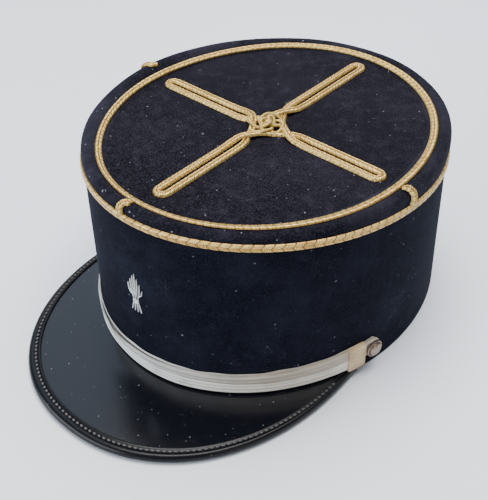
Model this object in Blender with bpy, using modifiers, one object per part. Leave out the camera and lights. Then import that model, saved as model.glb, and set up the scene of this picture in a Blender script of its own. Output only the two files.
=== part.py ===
"""Kepi cap: a stiff oval crown with gold braids, a silver strap and a leather peak.

Metres, +Z up, the front towards -Y and the wearer's left towards +X. The cap stands on z = 0
on the foot of its side wall, and the origin is the middle of the whole cap's plan. The pieces
are drawn round the middle of the crown's foot, and moved back together at the end.
A turn is an angle round the crown, 0 at the front and growing towards +X.
"""
import math
from collections import namedtuple

import bmesh
import bpy
import numpy as np
from mathutils import Matrix, Vector

CLEARANCE = 0.0003

# Crown
BASE_HALF_WIDTH = 0.0840
BASE_HALF_DEPTH = 0.0995
RIM_HALF_WIDTH = 0.0844
RIM_HALF_DEPTH = 0.0943
RIM_AHEAD = 0.0025
RIM_HEIGHT = 0.0871
RIM_SLOPE = 0.066
WALL_THICKNESS = 0.0025

# Rounded edge of the top, from the rim up to its crest and down to the sunk disc
EDGE_REACH = 0.0074
EDGE_RISE = 0.0099
CREST_SLOPE = 0.002
FRONT_LIFT = 0.0026
EDGE_THICKNESS = 0.0018
LIP_REACH = 0.0032
LIP_DROP = 0.0016
DISC_THICKNESS = 0.0025

# Gold braids
RIM_BRAID_WIDTH = 0.0042
RIM_BRAID_THICKNESS = 0.0010
RIM_BRAID_LIFT = 0.0005
RING_BRAID_WIDTH = 0.0043
RING_BRAID_THICKNESS = 0.0011
TAB_WIDTH = 0.0033
TAB_THICKNESS = 0.0009

# Knot on the top: one flat cord in four long loops, and a small woven round inside it
KNOT_AHEAD = 0.0042
CORD_WIDTH = 0.0040
CORD_THICKNESS = 0.0014
LOOP_SPACING = 0.0057
LOOP_LENGTH = 0.0690
LOOP_NECK = 0.0120
LOOP_SPREAD = 0.0075
WOVEN_CORD_RADIUS = 0.0009
WOVEN_SWING = 0.0020
WOVEN_LEADS = 3

# Badge
BADGE_HEIGHT = 0.0228
BADGE_WIDTH = 0.0104
BADGE_THICKNESS = 0.0012
BADGE_LEVEL = 0.0524
BADGE_TURN = math.radians(1.0)

# Peak and its binding
PEAK_PROJECTION = 0.0484
PEAK_SIDE_REACH = 0.0093
PEAK_WIDEST = 0.0500
PEAK_SQUARENESS = 2.15
PEAK_THICKNESS = 0.0024
PEAK_UPTURN = 0.0011
PEAK_UPTURN_WIDTH = 0.0120
PEAK_TAIL_WIDTH = 0.0024
BINDING_WALL = 0.0008
BINDING_ROLL = 0.0024
BINDING_LIP = 0.0045
FLOOR_GAP = 0.0001

# Chin strap, its slides and its buttons
STRAP_WIDTH = 0.0122
STRAP_THICKNESS = 0.0012
STRAP_LEAN = 0.0022
STRAP_END = math.radians(79.7)
TONGUE_CUT = 0.0038
SLIDE_LENGTH = 0.0100
SLIDE_WALL = 0.0005
BUTTON_TURN = math.radians(76.5)
BUTTON_RADIUS = 0.0046
BUTTON_RIM = 0.0008
BUTTON_DOME = 0.0020
BUTTON_SHANK_RADIUS = 0.0012
BUTTON_ABOVE_MIDDLE = 0.0013

# Fineness
CROWN_SIDES = 96
PEAK_STATIONS = 49
STRAP_STEPS = 24
TIP_STEPS = 6
WOVEN_STEPS_PER_LEAD = 32
BUTTON_SIDES = 20

# Round of the top edge: shares of EDGE_REACH inwards and of the local rise upwards
EdgePoint = namedtuple("EdgePoint", "inwards rise")
EDGE_ROUND = (
    EdgePoint(0.00, 0.00),
    EdgePoint(-0.02, 0.32),
    EdgePoint(-0.02, 0.60),
    EdgePoint(0.06, 0.82),
    EdgePoint(0.22, 0.95),
    EdgePoint(0.44, 1.00),
    EdgePoint(0.70, 1.00),
)

# Hook of a tab: share of the way from the rim braid to the ring braid, and sideways in widths
TabPoint = namedtuple("TabPoint", "climb aside")
TAB_HOOK = (
    TabPoint(0.00, 0.00),
    TabPoint(0.30, -0.12),
    TabPoint(0.60, -0.16),
    TabPoint(0.84, 0.02),
    TabPoint(0.97, 0.38),
    TabPoint(1.00, 0.85),
)
Tab = namedtuple("Tab", "name turn curl")
TABS = (
    Tab("tab_front", -1.6, 1),
    Tab("tab_left", 88.0, -1),
    Tab("tab_back", 180, 1),
    Tab("tab_right", 270, -1),
)

# Loops of the knot: the way each points, how far from the middle its two arms cross and how
# far its tip reaches, as shares of LOOP_NECK and LOOP_LENGTH
Loop = namedtuple("Loop", "turn neck reach")
LOOPS = (
    Loop(0.2, 1.20, 1.093),
    Loop(89.4, 1.05, 1.010),
    Loop(180.4, 1.12, 1.167),
    Loop(269.5, 0.82, 1.000),
)

# Badge: half of a sheaf's outline, as shares of the badge's half width and height
SheafPoint = namedtuple("SheafPoint", "half_width height")
SHEAF = (
    SheafPoint(0.50, 0.00),
    SheafPoint(0.62, 0.10),
    SheafPoint(0.30, 0.24),
    SheafPoint(0.55, 0.36),
    SheafPoint(0.95, 0.52),
    SheafPoint(0.78, 0.56),
    SheafPoint(1.00, 0.70),
    SheafPoint(0.62, 0.70),
    SheafPoint(0.66, 0.87),
    SheafPoint(0.30, 0.80),
)

# Chin strap: how far its upper edge stands out beyond its lower edge, as shares of STRAP_LEAN
StrapLean = namedtuple("StrapLean", "turn lean")
STRAP_LEANS = (
    StrapLean(-45, 0.00),
    StrapLean(-28, 0.27),
    StrapLean(-13, 1.00),
    StrapLean(0, 0.55),
    StrapLean(18, 0.00),
)

# Rounded end of the strap: shares of the way from the button's middle to the end, and of height
TonguePoint = namedtuple("TonguePoint", "way height")
TONGUE_ROUND = (
    TonguePoint(0.00, 1.00),
    TonguePoint(0.50, 0.95),
    TonguePoint(0.80, 0.78),
    TonguePoint(0.95, 0.52),
    TonguePoint(1.00, 0.28),
)

Oval = namedtuple("Oval", "half_width half_depth middle_y height slope")
BASE = Oval(BASE_HALF_WIDTH, BASE_HALF_DEPTH, 0.0, 0.0, 0.0)
RIM = Oval(RIM_HALF_WIDTH, RIM_HALF_DEPTH, -RIM_AHEAD, RIM_HEIGHT, RIM_SLOPE)

PEAK_BINDING_HALF = PEAK_THICKNESS / 2 + CLEARANCE + BINDING_WALL
PEAK_LEVEL = PEAK_BINDING_HALF + FLOOR_GAP
PEAK_TOP = PEAK_LEVEL + max(PEAK_THICKNESS / 2 + PEAK_UPTURN, PEAK_BINDING_HALF + CLEARANCE)
STRAP_STANDOFF = SLIDE_WALL + 2 * CLEARANCE
STRAP_LOW = PEAK_TOP + STRAP_STANDOFF
STRAP_FACE = STRAP_STANDOFF + STRAP_THICKNESS
STRAP_HIGH = STRAP_LOW + STRAP_WIDTH
BUTTON_LEVEL = STRAP_LOW + STRAP_WIDTH / 2 + BUTTON_ABOVE_MIDDLE


def finish(name, colour, roughness, metallic=0.0):
    """A plain material with one Principled BSDF."""
    material = bpy.data.materials.new(name)
    material.use_nodes = True
    shader = material.node_tree.nodes["Principled BSDF"]
    shader.inputs["Base Color"].default_value = (*colour, 1.0)
    shader.inputs["Roughness"].default_value = roughness
    shader.inputs["Metallic"].default_value = metallic
    return material


def place(name, data, material, collection):
    """A named object of the mesh or curve, in the cap's collection."""
    piece = bpy.data.objects.new(name, data)
    data.materials.append(material)
    collection.objects.link(piece)
    return piece


def smooth(mesh, degrees=35):
    mesh.shade_smooth()
    mesh.set_sharp_from_angle(angle=math.radians(degrees))


def loft(name, sections, ring=False):
    """A closed mesh through closed sections of as many points each.

    A ring joins its last section to its first, and another loft is capped at both ends.
    """
    shape = bmesh.new()
    rows = [[shape.verts.new(point) for point in section] for section in sections]
    following = rows[1:] + rows[:1] if ring else rows[1:]
    for near, far in zip(rows, following):
        for i, corner in enumerate(near):
            j = (i + 1) % len(near)
            shape.faces.new((corner, near[j], far[j], far[i]))
    if not ring:
        shape.faces.new(rows[0])
        shape.faces.new(rows[-1])
    bmesh.ops.recalc_face_normals(shape, faces=shape.faces)
    mesh = bpy.data.meshes.new(name)
    shape.to_mesh(mesh)
    shape.free()
    smooth(mesh)
    return mesh


def band(name, path, ups, width, thickness, ring=False):
    """A flat band along a path, with the direction its upper face looks in at each point."""
    sections = []
    last = len(path) - 1
    for i, (point, up) in enumerate(zip(path, ups)):
        before = path[i - 1] if ring or i else path[0]
        after = path[(i + 1) % len(path)] if ring or i < last else path[last]
        side = (after - before).cross(up).normalized() * width / 2
        top = up * thickness
        sections.append([point - side, point + side, point + side + top, point - side + top])
    return loft(name, sections, ring)


def on_oval(oval, turn, out=0.0, up=0.0):
    """The point of an oval at a turn, moved outwards and up."""
    east = math.sin(turn)
    north = -math.cos(turn)
    outwards = Vector((east / oval.half_width, north / oval.half_depth, 0)).normalized()
    point = Vector((oval.half_width * east, oval.middle_y + oval.half_depth * north, 0))
    point.z = oval.height - oval.slope * (point.y - oval.middle_y) + up
    return point + outwards * out


def on_wall(turn, height, out=0.0):
    """The point of the side wall's outer face at a height above the floor, moved outwards."""
    foot = on_oval(BASE, turn, out)
    top = on_oval(RIM, turn, out)
    return foot.lerp(top, height / top.z)


def wall_outwards(turn, height):
    return (on_wall(turn, height, 1.0) - on_wall(turn, height)).normalized()


def turn_past(turn, distance):
    """The turn that lies a distance further round the crown's foot."""
    speed = math.hypot(BASE_HALF_WIDTH * math.cos(turn), BASE_HALF_DEPTH * math.sin(turn))
    return turn + distance / speed


def crest_height(y):
    """Height of the top edge's crest, which rises towards the front less than the rim does."""
    return RIM_HEIGHT + EDGE_RISE - CREST_SLOPE * (y + RIM_AHEAD)


def top_height(y):
    """Height of the sunk disc's upper face."""
    return crest_height(y) - LIP_DROP


def edge_profile(turn):
    """Outer skin of the top edge at a turn: rows of (out, up) from the rim's point."""
    rim = on_oval(RIM, turn)
    crest = crest_height(rim.y) - rim.z
    lift = FRONT_LIFT * max(0.0, math.cos(turn)) ** 3
    rise = crest + lift - CLEARANCE
    rows = [(-EDGE_REACH * p.inwards, CLEARANCE + rise * p.rise) for p in EDGE_ROUND]
    slope_start = np.array(rows[-1])
    slope_end = np.array((-EDGE_REACH - LIP_REACH, crest - LIP_DROP))
    share = (-EDGE_REACH - slope_start[0]) / (slope_end[0] - slope_start[0])
    return np.vstack((rows, slope_start + share * (slope_end - slope_start), slope_end))


def inwards_of(profile):
    """The inward direction of an open profile at each of its points."""
    along = np.gradient(profile, axis=0)
    along /= np.linalg.norm(along, axis=1)[:, None]
    return np.column_stack((-along[:, 1], along[:, 0]))


def crown_turns():
    return [math.tau * i / CROWN_SIDES for i in range(CROWN_SIDES)]


def side_wall_mesh():
    sections = [
        [
            on_oval(BASE, turn),
            on_oval(RIM, turn),
            on_oval(RIM, turn, -WALL_THICKNESS),
            on_oval(BASE, turn, -WALL_THICKNESS),
        ]
        for turn in crown_turns()
    ]
    return loft("side_wall", sections, ring=True)


def top_edge_mesh():
    sections = []
    for turn in crown_turns():
        outer = edge_profile(turn)
        inner = outer + inwards_of(outer) * EDGE_THICKNESS
        inner[0, 1] = outer[0, 1]
        loop = np.vstack((outer, inner[::-1]))
        sections.append([on_oval(RIM, turn, out, up) for out, up in loop])
    return loft("top_edge", sections, ring=True)


def top_disc_mesh():
    """The sunk disc: its outline at the lower face and at the upper face."""
    outline = [on_oval(RIM, t, -EDGE_REACH - LIP_REACH - CLEARANCE) for t in crown_turns()]
    faces = [
        [Vector((p.x, p.y, top_height(p.y) - depth)) for p in outline]
        for depth in (DISC_THICKNESS, 0.0)
    ]
    return loft("top_disc", faces)


def rim_braid_mesh():
    """A flat braid over the seam between the side wall and the top edge."""
    half = RIM_BRAID_WIDTH / 2
    sections = []
    for turn in crown_turns():
        low = on_oval(RIM, turn).z + RIM_BRAID_LIFT - half
        face = CLEARANCE + RIM_BRAID_THICKNESS
        sections.append(
            [
                on_wall(turn, low, CLEARANCE),
                on_wall(turn, low, face),
                on_oval(RIM, turn, face, RIM_BRAID_LIFT + half),
                on_oval(RIM, turn, CLEARANCE, RIM_BRAID_LIFT + half),
            ]
        )
    return loft("rim_braid", sections, ring=True)


def ring_braid_mesh():
    """A flat braid on the inner slope of the top edge."""
    sections = []
    for turn in crown_turns():
        profile = edge_profile(turn)
        along = profile[-1] - profile[-3]
        along *= RING_BRAID_WIDTH / 2 / np.linalg.norm(along)
        normal = np.array((along[1], -along[0])) * 2 / RING_BRAID_WIDTH
        low = profile[-2] + normal * 2 * CLEARANCE
        high = low + normal * RING_BRAID_THICKNESS
        corners = (low - along, low + along, high + along, high - along)
        sections.append([on_oval(RIM, turn, out, up) for out, up in corners])
    return loft("ring_braid", sections, ring=True)


def tab_mesh(tab):
    """A short hooked braid that climbs the top edge's round from the rim braid."""
    turn = math.radians(tab.turn)
    profile = edge_profile(turn)[: len(EDGE_ROUND)]
    inward = inwards_of(profile)
    steps = np.linalg.norm(np.diff(profile, axis=0), axis=1)
    climbed = np.concatenate(([0.0], np.cumsum(steps)))
    braid_top = RIM_BRAID_LIFT + RIM_BRAID_WIDTH / 2 + 2 * CLEARANCE
    low = np.interp(braid_top, profile[:, 1], climbed)
    high = climbed[-1] - TAB_WIDTH * 0.6 - 2 * CLEARANCE
    path = []
    ups = []
    for point in TAB_HOOK:
        along = low + (high - low) * point.climb
        columns = (*profile.T, *inward.T)
        out, up, in_out, in_up = (np.interp(along, climbed, column) for column in columns)
        here = turn_past(turn, point.aside * tab.curl * TAB_WIDTH)
        foot = on_oval(RIM, here, out, up)
        normal = on_oval(RIM, here, out - in_out, up - in_up) - foot
        path.append(foot + normal.normalized() * 2 * CLEARANCE)
        ups.append(normal.normalized())
    return band(tab.name, path, ups, TAB_WIDTH, TAB_THICKNESS)


def pointing(turn):
    return Vector((math.sin(turn), -math.cos(turn)))


def loop_path(loop):
    """Rows of (place in plan, lifted share) round one loop, from its neck back to its neck.

    The cord comes in under at the neck, runs out on one arm, round the tip and back on the
    other arm, and leaves over itself.
    """
    turn = math.radians(loop.turn)
    along = pointing(turn)
    aside = Vector((-along.y, along.x))
    arm = LOOP_SPACING / 2
    neck = loop.neck * LOOP_NECK
    tip = loop.reach * LOOP_LENGTH - arm - CORD_WIDTH / 2
    rows = [
        (neck, 0.0, 0.0),
        (neck + LOOP_SPREAD * 0.5, arm * 0.62, 0.0),
        (neck + LOOP_SPREAD, arm, 0.0),
    ]
    for step in range(TIP_STEPS + 1):
        angle = math.pi * step / TIP_STEPS
        rows.append((tip + arm * math.sin(angle), arm * math.cos(angle), 0.0))
    rows += [
        (neck + LOOP_SPREAD * 1.5, -arm, 0.0),
        (neck + LOOP_SPREAD, -arm, 0.6),
        (neck + LOOP_SPREAD * 0.5, -arm * 0.62, 1.0),
        (neck, 0.0, 1.0),
    ]
    return [(along * far + aside * side, lifted) for far, side, lifted in rows]


def knot_cord_mesh():
    """One flat cord through all four loops, with a straight bar from each neck to the next."""
    path = []
    for loop, following in zip(LOOPS, LOOPS[1:] + LOOPS[:1]):
        rows = loop_path(loop)
        leaving = rows[-1][0]
        arriving = pointing(math.radians(following.turn)) * following.neck * LOOP_NECK
        rows += [(leaving.lerp(arriving, share), lifted) for share, lifted in ((0.3, 1.0), (0.7, 0.0))]
        for place_in_plan, lifted in rows:
            y = place_in_plan.y - KNOT_AHEAD
            lift = CLEARANCE + lifted * (CORD_THICKNESS + CLEARANCE)
            path.append(Vector((place_in_plan.x, y, top_height(y) + lift)))
    up = Vector((0, 0, 1))
    return band("knot_cord", path, [up] * len(path), CORD_WIDTH, CORD_THICKNESS, ring=True)


def knot_bars():
    """The straight bars between the necks, as the turn each faces in and its distance."""
    bars = []
    for loop, following in zip(LOOPS, LOOPS[1:] + LOOPS[:1]):
        facing = math.radians(loop.turn) + math.atan2(loop.neck, following.neck)
        share = loop.neck * following.neck / math.hypot(loop.neck, following.neck)
        bars.append((facing, share * LOOP_NECK))
    return bars


def woven_round(collection, material):
    """A three-lead, four-bight woven round between the bars, as one closed round cord.

    Its distance from the middle swings as the cosine of 4/3 of the turn, and its height as the
    sine of twice that, so that it passes over and under itself by turns.
    """
    steps = WOVEN_STEPS_PER_LEAD * WOVEN_LEADS
    turns = math.tau * WOVEN_LEADS * np.arange(steps) / steps
    swings = turns * len(LOOPS) / WOVEN_LEADS
    room = []
    for bar_turn, distance in knot_bars():
        facing = np.maximum(np.cos(turns - bar_turn), 0.1)
        free = distance - CORD_WIDTH / 2 - CLEARANCE - WOVEN_CORD_RADIUS
        room.append(np.min(free / facing - WOVEN_SWING * np.cos(swings)))
    middle = min(room)
    weave = (2 * WOVEN_CORD_RADIUS + CLEARANCE) / (2 * math.sin(math.tau / 3))
    level = CLEARANCE + weave + WOVEN_CORD_RADIUS
    curve = bpy.data.curves.new("knot_centre", "CURVE")
    curve.dimensions = "3D"
    curve.bevel_depth = WOVEN_CORD_RADIUS
    curve.bevel_resolution = 2
    spline = curve.splines.new("POLY")
    spline.points.add(steps - 1)
    for point, turn, swing in zip(spline.points, turns, swings):
        way = pointing(turn) * (middle + WOVEN_SWING * math.cos(swing))
        y = way.y - KNOT_AHEAD
        point.co = (way.x, y, top_height(y) + level + weave * math.sin(2 * swing), 1.0)
    spline.use_cyclic_u = True
    return place("knot_centre", curve, material, collection)


def badge_piece(collection, material):
    """A sheaf of blades tied above its stems, standing on the front of the wall."""
    curve = bpy.data.curves.new("badge", "CURVE")
    curve.dimensions = "2D"
    curve.fill_mode = "BOTH"
    curve.extrude = BADGE_THICKNESS / 2
    half = [(p.half_width * BADGE_WIDTH / 2, (p.height - 0.5) * BADGE_HEIGHT) for p in SHEAF]
    outline = half + [(0.0, BADGE_HEIGHT / 2)] + [(-x, y) for x, y in reversed(half)]
    spline = curve.splines.new("POLY")
    spline.points.add(len(outline) - 1)
    for point, (x, y) in zip(spline.points, outline):
        point.co = (x, y, 0.0, 1.0)
    spline.use_cyclic_u = True
    piece = place("badge", curve, material, collection)
    bend = (BADGE_WIDTH / 2) ** 2 * RIM_HALF_DEPTH / (2 * RIM_HALF_WIDTH**2)
    off_wall = CLEARANCE + bend + BADGE_THICKNESS / 2
    low, middle, high = (
        on_wall(BADGE_TURN, BADGE_LEVEL + share * BADGE_HEIGHT, off_wall) for share in (-1, 0, 1)
    )
    upwards = (high - low).normalized()
    across = upwards.cross(-wall_outwards(BADGE_TURN, BADGE_LEVEL)).normalized()
    turned = Matrix((across, upwards, across.cross(upwards))).transposed()
    piece.matrix_world = Matrix.Translation(middle) @ turned.to_4x4()
    return piece


def wall_x(y):
    """Half width of the crown's foot at a depth."""
    return BASE_HALF_WIDTH * math.sqrt(max(0.0, 1 - (y / BASE_HALF_DEPTH) ** 2))


def peak_outline(angle):
    """Outer edge of the bound peak in plan: a squarish oval, angle 0 at its front."""
    half_width = wall_x(PEAK_WIDEST) + PEAK_SIDE_REACH
    reach = BASE_HALF_DEPTH + PEAK_PROJECTION - PEAK_WIDEST
    power = 2 / PEAK_SQUARENESS
    east = math.copysign(abs(math.sin(angle)) ** power, math.sin(angle))
    north = -math.copysign(abs(math.cos(angle)) ** power, math.cos(angle))
    return Vector((half_width * east, -PEAK_WIDEST + reach * north))


def peak_tail_angle():
    """The angle at which the outline comes within the tail's width of the wall."""
    near = math.pi / 2
    far = math.pi
    for _ in range(40):
        middle = (near + far) / 2
        point = peak_outline(middle)
        if point.x - wall_x(point.y) > PEAK_TAIL_WIDTH:
            near = middle
        else:
            far = middle
    return near


PeakStation = namedtuple("PeakStation", "foot way width grip upturn")


def peak_stations():
    """From tail to tail: the wall's point, the way outwards, the width and what it scales.

    The binding narrows towards its tails with the peak's own width, and the upturn flattens.
    """
    tail = peak_tail_angle()
    tail_turn = math.acos(-peak_outline(tail).y / BASE_HALF_DEPTH)
    stations = []
    for i in range(PEAK_STATIONS):
        share = 2 * i / (PEAK_STATIONS - 1) - 1
        foot = on_wall(share * tail_turn, PEAK_LEVEL, CLEARANCE).xy
        way = peak_outline(share * tail) - foot
        grip = min(1.0, way.length / (BINDING_ROLL + BINDING_LIP + 2 * CLEARANCE))
        upturn = PEAK_UPTURN * min(1.0, way.length / PEAK_UPTURN_WIDTH) ** 2
        stations.append(PeakStation(foot, way.normalized(), way.length, grip, upturn))
    return stations


def peak_point(station, distance, up):
    """A point at a distance from the wall, above or below the leather's middle layer."""
    near = max(0.0, 1 - distance / PEAK_UPTURN_WIDTH)
    plan = station.foot + station.way * distance
    return Vector((plan.x, plan.y, PEAK_LEVEL + station.upturn * near**2 + up))


def peak_mesh():
    sections = []
    half = PEAK_THICKNESS / 2
    for station in peak_stations():
        width = station.width - station.grip * BINDING_ROLL
        bend = min(PEAK_UPTURN_WIDTH, width / 2)
        distances = [0.0, bend / 3, bend * 2 / 3, bend, width]
        top = [peak_point(station, d, half) for d in distances]
        bottom = [peak_point(station, d, -half) for d in reversed(distances)]
        sections.append(top + bottom)
    return loft("peak", sections)


def peak_binding_mesh():
    """Leather folded round the peak's edge: a roll outside and a lip on each face."""
    inner = PEAK_THICKNESS / 2 + CLEARANCE
    outer = PEAK_BINDING_HALF
    sections = []
    for station in peak_stations():
        edge = station.width - station.grip * BINDING_ROLL
        lip = -station.grip * BINDING_LIP
        roll = station.grip * BINDING_ROLL
        upper = [
            (lip, inner),
            (lip, outer),
            (0.0, outer),
            (0.7 * roll, 0.72 * outer),
            (roll, 0.25 * outer),
        ]
        around = upper + [(out, -up) for out, up in reversed(upper)]
        around += [(CLEARANCE, -inner), (CLEARANCE, inner)]
        sections.append([peak_point(station, edge + out, up) for out, up in around])
    return loft("peak_binding", sections)


def strap_lean(turn):
    degrees = [row.turn for row in STRAP_LEANS]
    shares = [row.lean for row in STRAP_LEANS]
    return STRAP_LEAN * float(np.interp(math.degrees(turn), degrees, shares))


def slide_turns():
    """The turns of a slide's end towards the front and of its end at the button."""
    far = turn_past(BUTTON_TURN, -BUTTON_RADIUS - CLEARANCE)
    return turn_past(far, -SLIDE_LENGTH), far


def half_strap():
    """Rows of (turn, low, high) from the front to the rounded tongue under the button.

    The tongue starts inside the slide, where the lower edge rises to it.
    """
    near, far = slide_turns()
    shoulder = (near + far) / 2
    tongue_low = STRAP_LOW + TONGUE_CUT
    rows = [(shoulder * i / STRAP_STEPS, STRAP_LOW, STRAP_HIGH) for i in range(STRAP_STEPS + 1)]
    rows.append(((shoulder + far) / 2, tongue_low, STRAP_HIGH))
    for point in TONGUE_ROUND:
        turn = BUTTON_TURN + (STRAP_END - BUTTON_TURN) * point.way
        low = BUTTON_LEVEL - (BUTTON_LEVEL - tongue_low) * point.height
        high = BUTTON_LEVEL + (STRAP_HIGH - BUTTON_LEVEL) * point.height
        rows.append((turn, low, high))
    return rows


def chin_strap_mesh():
    half = half_strap()
    sections = []
    for turn, low, high in [(-turn, low, high) for turn, low, high in reversed(half[1:])] + half:
        lean = strap_lean(turn)
        sections.append(
            [
                on_wall(turn, low, STRAP_STANDOFF),
                on_wall(turn, high, STRAP_STANDOFF + lean),
                on_wall(turn, high, STRAP_FACE + lean),
                on_wall(turn, low, STRAP_FACE),
            ]
        )
    return loft("chin_strap", sections)


def slide_mesh(name, side):
    """A flat sleeve round the strap, next to the button."""
    near, far = slide_turns()
    bore = (
        (STRAP_STANDOFF - CLEARANCE, STRAP_LOW - CLEARANCE),
        (STRAP_FACE + CLEARANCE, STRAP_LOW - CLEARANCE),
        (STRAP_FACE + CLEARANCE, STRAP_HIGH + CLEARANCE),
        (STRAP_STANDOFF - CLEARANCE, STRAP_HIGH + CLEARANCE),
    )
    spread = ((-1, -1), (1, -1), (1, 1), (-1, 1))
    sections = []
    for (out, height), (outer, upper) in zip(bore, spread):
        skin_out = out + outer * SLIDE_WALL
        skin_height = height + upper * SLIDE_WALL
        sections.append(
            [
                on_wall(side * near, height, out),
                on_wall(side * far, height, out),
                on_wall(side * far, skin_height, skin_out),
                on_wall(side * near, skin_height, skin_out),
            ]
        )
    return loft(name, sections, ring=True)


def button_piece(name, side, collection, material):
    """A domed button turned from its profile, its shank reaching back to the strap."""
    turn = side * BUTTON_TURN
    dome_steps = 5
    profile = [(0.0, BUTTON_RIM + BUTTON_DOME)]
    for step in range(1, dome_steps + 1):
        angle = math.pi / 2 * step / dome_steps
        dome = BUTTON_RADIUS - BUTTON_RIM
        profile.append((dome * math.sin(angle), BUTTON_RIM + BUTTON_DOME * math.cos(angle)))
    profile += [
        (BUTTON_RADIUS, BUTTON_RIM * 0.8),
        (BUTTON_RADIUS, 0.0),
        (BUTTON_SHANK_RADIUS, 0.0),
        (BUTTON_SHANK_RADIUS, -CLEARANCE),
        (0.0, -CLEARANCE),
    ]
    mesh = bpy.data.meshes.new(name)
    edges = [(i, i + 1) for i in range(len(profile) - 1)]
    mesh.from_pydata([(x, 0.0, z) for x, z in profile], edges, [])
    piece = place(name, mesh, material, collection)
    screw = piece.modifiers.new("Turn", "SCREW")
    screw.steps = BUTTON_SIDES
    screw.render_steps = BUTTON_SIDES
    screw.use_merge_vertices = True
    screw.merge_threshold = 0.00001
    screw.use_smooth_shade = True
    outwards = wall_outwards(turn, BUTTON_LEVEL)
    piece.matrix_world = (
        Matrix.Translation(on_wall(turn, BUTTON_LEVEL, STRAP_FACE + 2 * CLEARANCE))
        @ outwards.to_track_quat("Z", "Y").to_matrix().to_4x4()
    )
    return piece


def clear_scene():
    for piece in list(bpy.data.objects):
        bpy.data.objects.remove(piece, do_unlink=True)


def build():
    clear_scene()
    cap = bpy.data.collections.new("Kepi cap")
    bpy.context.scene.collection.children.link(cap)
    velvet = finish("Velvet cloth", (0.008, 0.010, 0.020), 0.95)
    felt = finish("Wool felt", (0.018, 0.018, 0.032), 0.95)
    gold = finish("Gold braid", (0.62, 0.42, 0.14), 0.45, 0.6)
    silver = finish("Silver braid", (0.66, 0.64, 0.58), 0.5, 0.5)
    leather = finish("Black leather", (0.012, 0.012, 0.016), 0.3)
    metal = finish("Silvered metal", (0.60, 0.58, 0.54), 0.35, 1.0)

    place("side_wall", side_wall_mesh(), velvet, cap)
    place("top_edge", top_edge_mesh(), velvet, cap)
    place("top_disc", top_disc_mesh(), felt, cap)
    place("rim_braid", rim_braid_mesh(), gold, cap)
    place("ring_braid", ring_braid_mesh(), gold, cap)
    for tab in TABS:
        place(tab.name, tab_mesh(tab), gold, cap)
    place("knot_cord", knot_cord_mesh(), gold, cap)
    woven_round(cap, gold)
    badge_piece(cap, silver)
    place("peak", peak_mesh(), leather, cap)
    place("peak_binding", peak_binding_mesh(), leather, cap)
    place("chin_strap", chin_strap_mesh(), silver, cap)
    for name, side in (("left", 1), ("right", -1)):
        place(f"slide_{name}", slide_mesh(f"slide_{name}", side), silver, cap)
        button_piece(f"button_{name}", side, cap, metal)
    for piece in cap.objects:
        piece.location.y += PEAK_PROJECTION / 2


build()
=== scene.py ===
"""The looks of a kepi cap: napped cloth, plaited gold, a silver strap and a bound leather peak.

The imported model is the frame. Metres, +Z up, the front towards -Y and the wearer's left towards
+X. A turn is an angle round the crown, 0 at the front and growing towards +X. Every piece is a
grid of points worked out with numpy, with a UV map that runs along it and across it.
"""
import logging
import math
from dataclasses import dataclass, field
from enum import Enum
from functools import cache
from typing import Any, ClassVar, Optional, Union

import bpy
import numpy as np
from mathutils import Matrix, Vector


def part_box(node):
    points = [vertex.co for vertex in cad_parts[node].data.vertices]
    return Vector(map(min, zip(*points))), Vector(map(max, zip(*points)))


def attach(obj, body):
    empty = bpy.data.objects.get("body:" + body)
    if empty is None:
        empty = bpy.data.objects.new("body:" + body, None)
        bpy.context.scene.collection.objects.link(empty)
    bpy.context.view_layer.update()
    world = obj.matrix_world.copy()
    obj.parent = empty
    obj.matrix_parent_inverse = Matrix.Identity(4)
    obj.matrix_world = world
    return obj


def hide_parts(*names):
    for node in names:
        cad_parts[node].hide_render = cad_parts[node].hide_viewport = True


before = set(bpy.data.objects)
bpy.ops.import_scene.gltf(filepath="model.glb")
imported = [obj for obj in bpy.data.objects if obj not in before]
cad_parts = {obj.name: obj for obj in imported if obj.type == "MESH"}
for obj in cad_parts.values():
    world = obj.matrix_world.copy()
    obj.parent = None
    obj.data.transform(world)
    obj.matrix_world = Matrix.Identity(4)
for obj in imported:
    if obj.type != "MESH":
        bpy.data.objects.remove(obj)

Array = np.ndarray
Material = bpy.types.Material
Object = bpy.types.Object
Triple = tuple[float, float, float]
Colour = Triple
Table = tuple[tuple[float, ...], ...]

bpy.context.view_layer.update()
LOG = logging.getLogger("kepi")
CLEARANCE = 0.0003
UPRIGHT = (0.0, 0.0, 1.0)
SPREAD_DEGREES = np.arange(-16, 17, 4)
CROWN_MIDDLE_Y = sum(corner.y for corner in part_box("side_wall")) / 2


class Slot(Enum):
    """The record's material slots, one named for each new piece."""

    VELVET = "velvet_cloth"
    GOLD = "gold_braid"
    SILVER = "silver_braid"
    LEATHER = "black_leather"
    METAL = "silvered_metal"


def unit(vectors: Array) -> Array:
    """Vectors of length 1 along the last axis."""
    return vectors / np.linalg.norm(vectors, axis=-1, keepdims=True)


def resample(points: Array, count: int, closed: bool = False) -> Array:
    """Points spaced evenly along a line, by linear interpolation over its length.

    Args:
        points: rows of coordinates.
        count: how many points to return.
        closed: whether the line returns to its first point.

    Returns:
        The new rows, without the repeated last point when closed.
    """
    line = np.vstack((points, points[:1])) if closed else np.asarray(points, float)
    steps = np.linalg.norm(np.diff(line, axis=0), axis=1)
    length = np.concatenate(([0.0], np.cumsum(steps)))
    at = np.linspace(0.0, length[-1], count + 1 if closed else count)
    found = np.column_stack([np.interp(at, length, column) for column in line.T])
    return found[:count]


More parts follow.
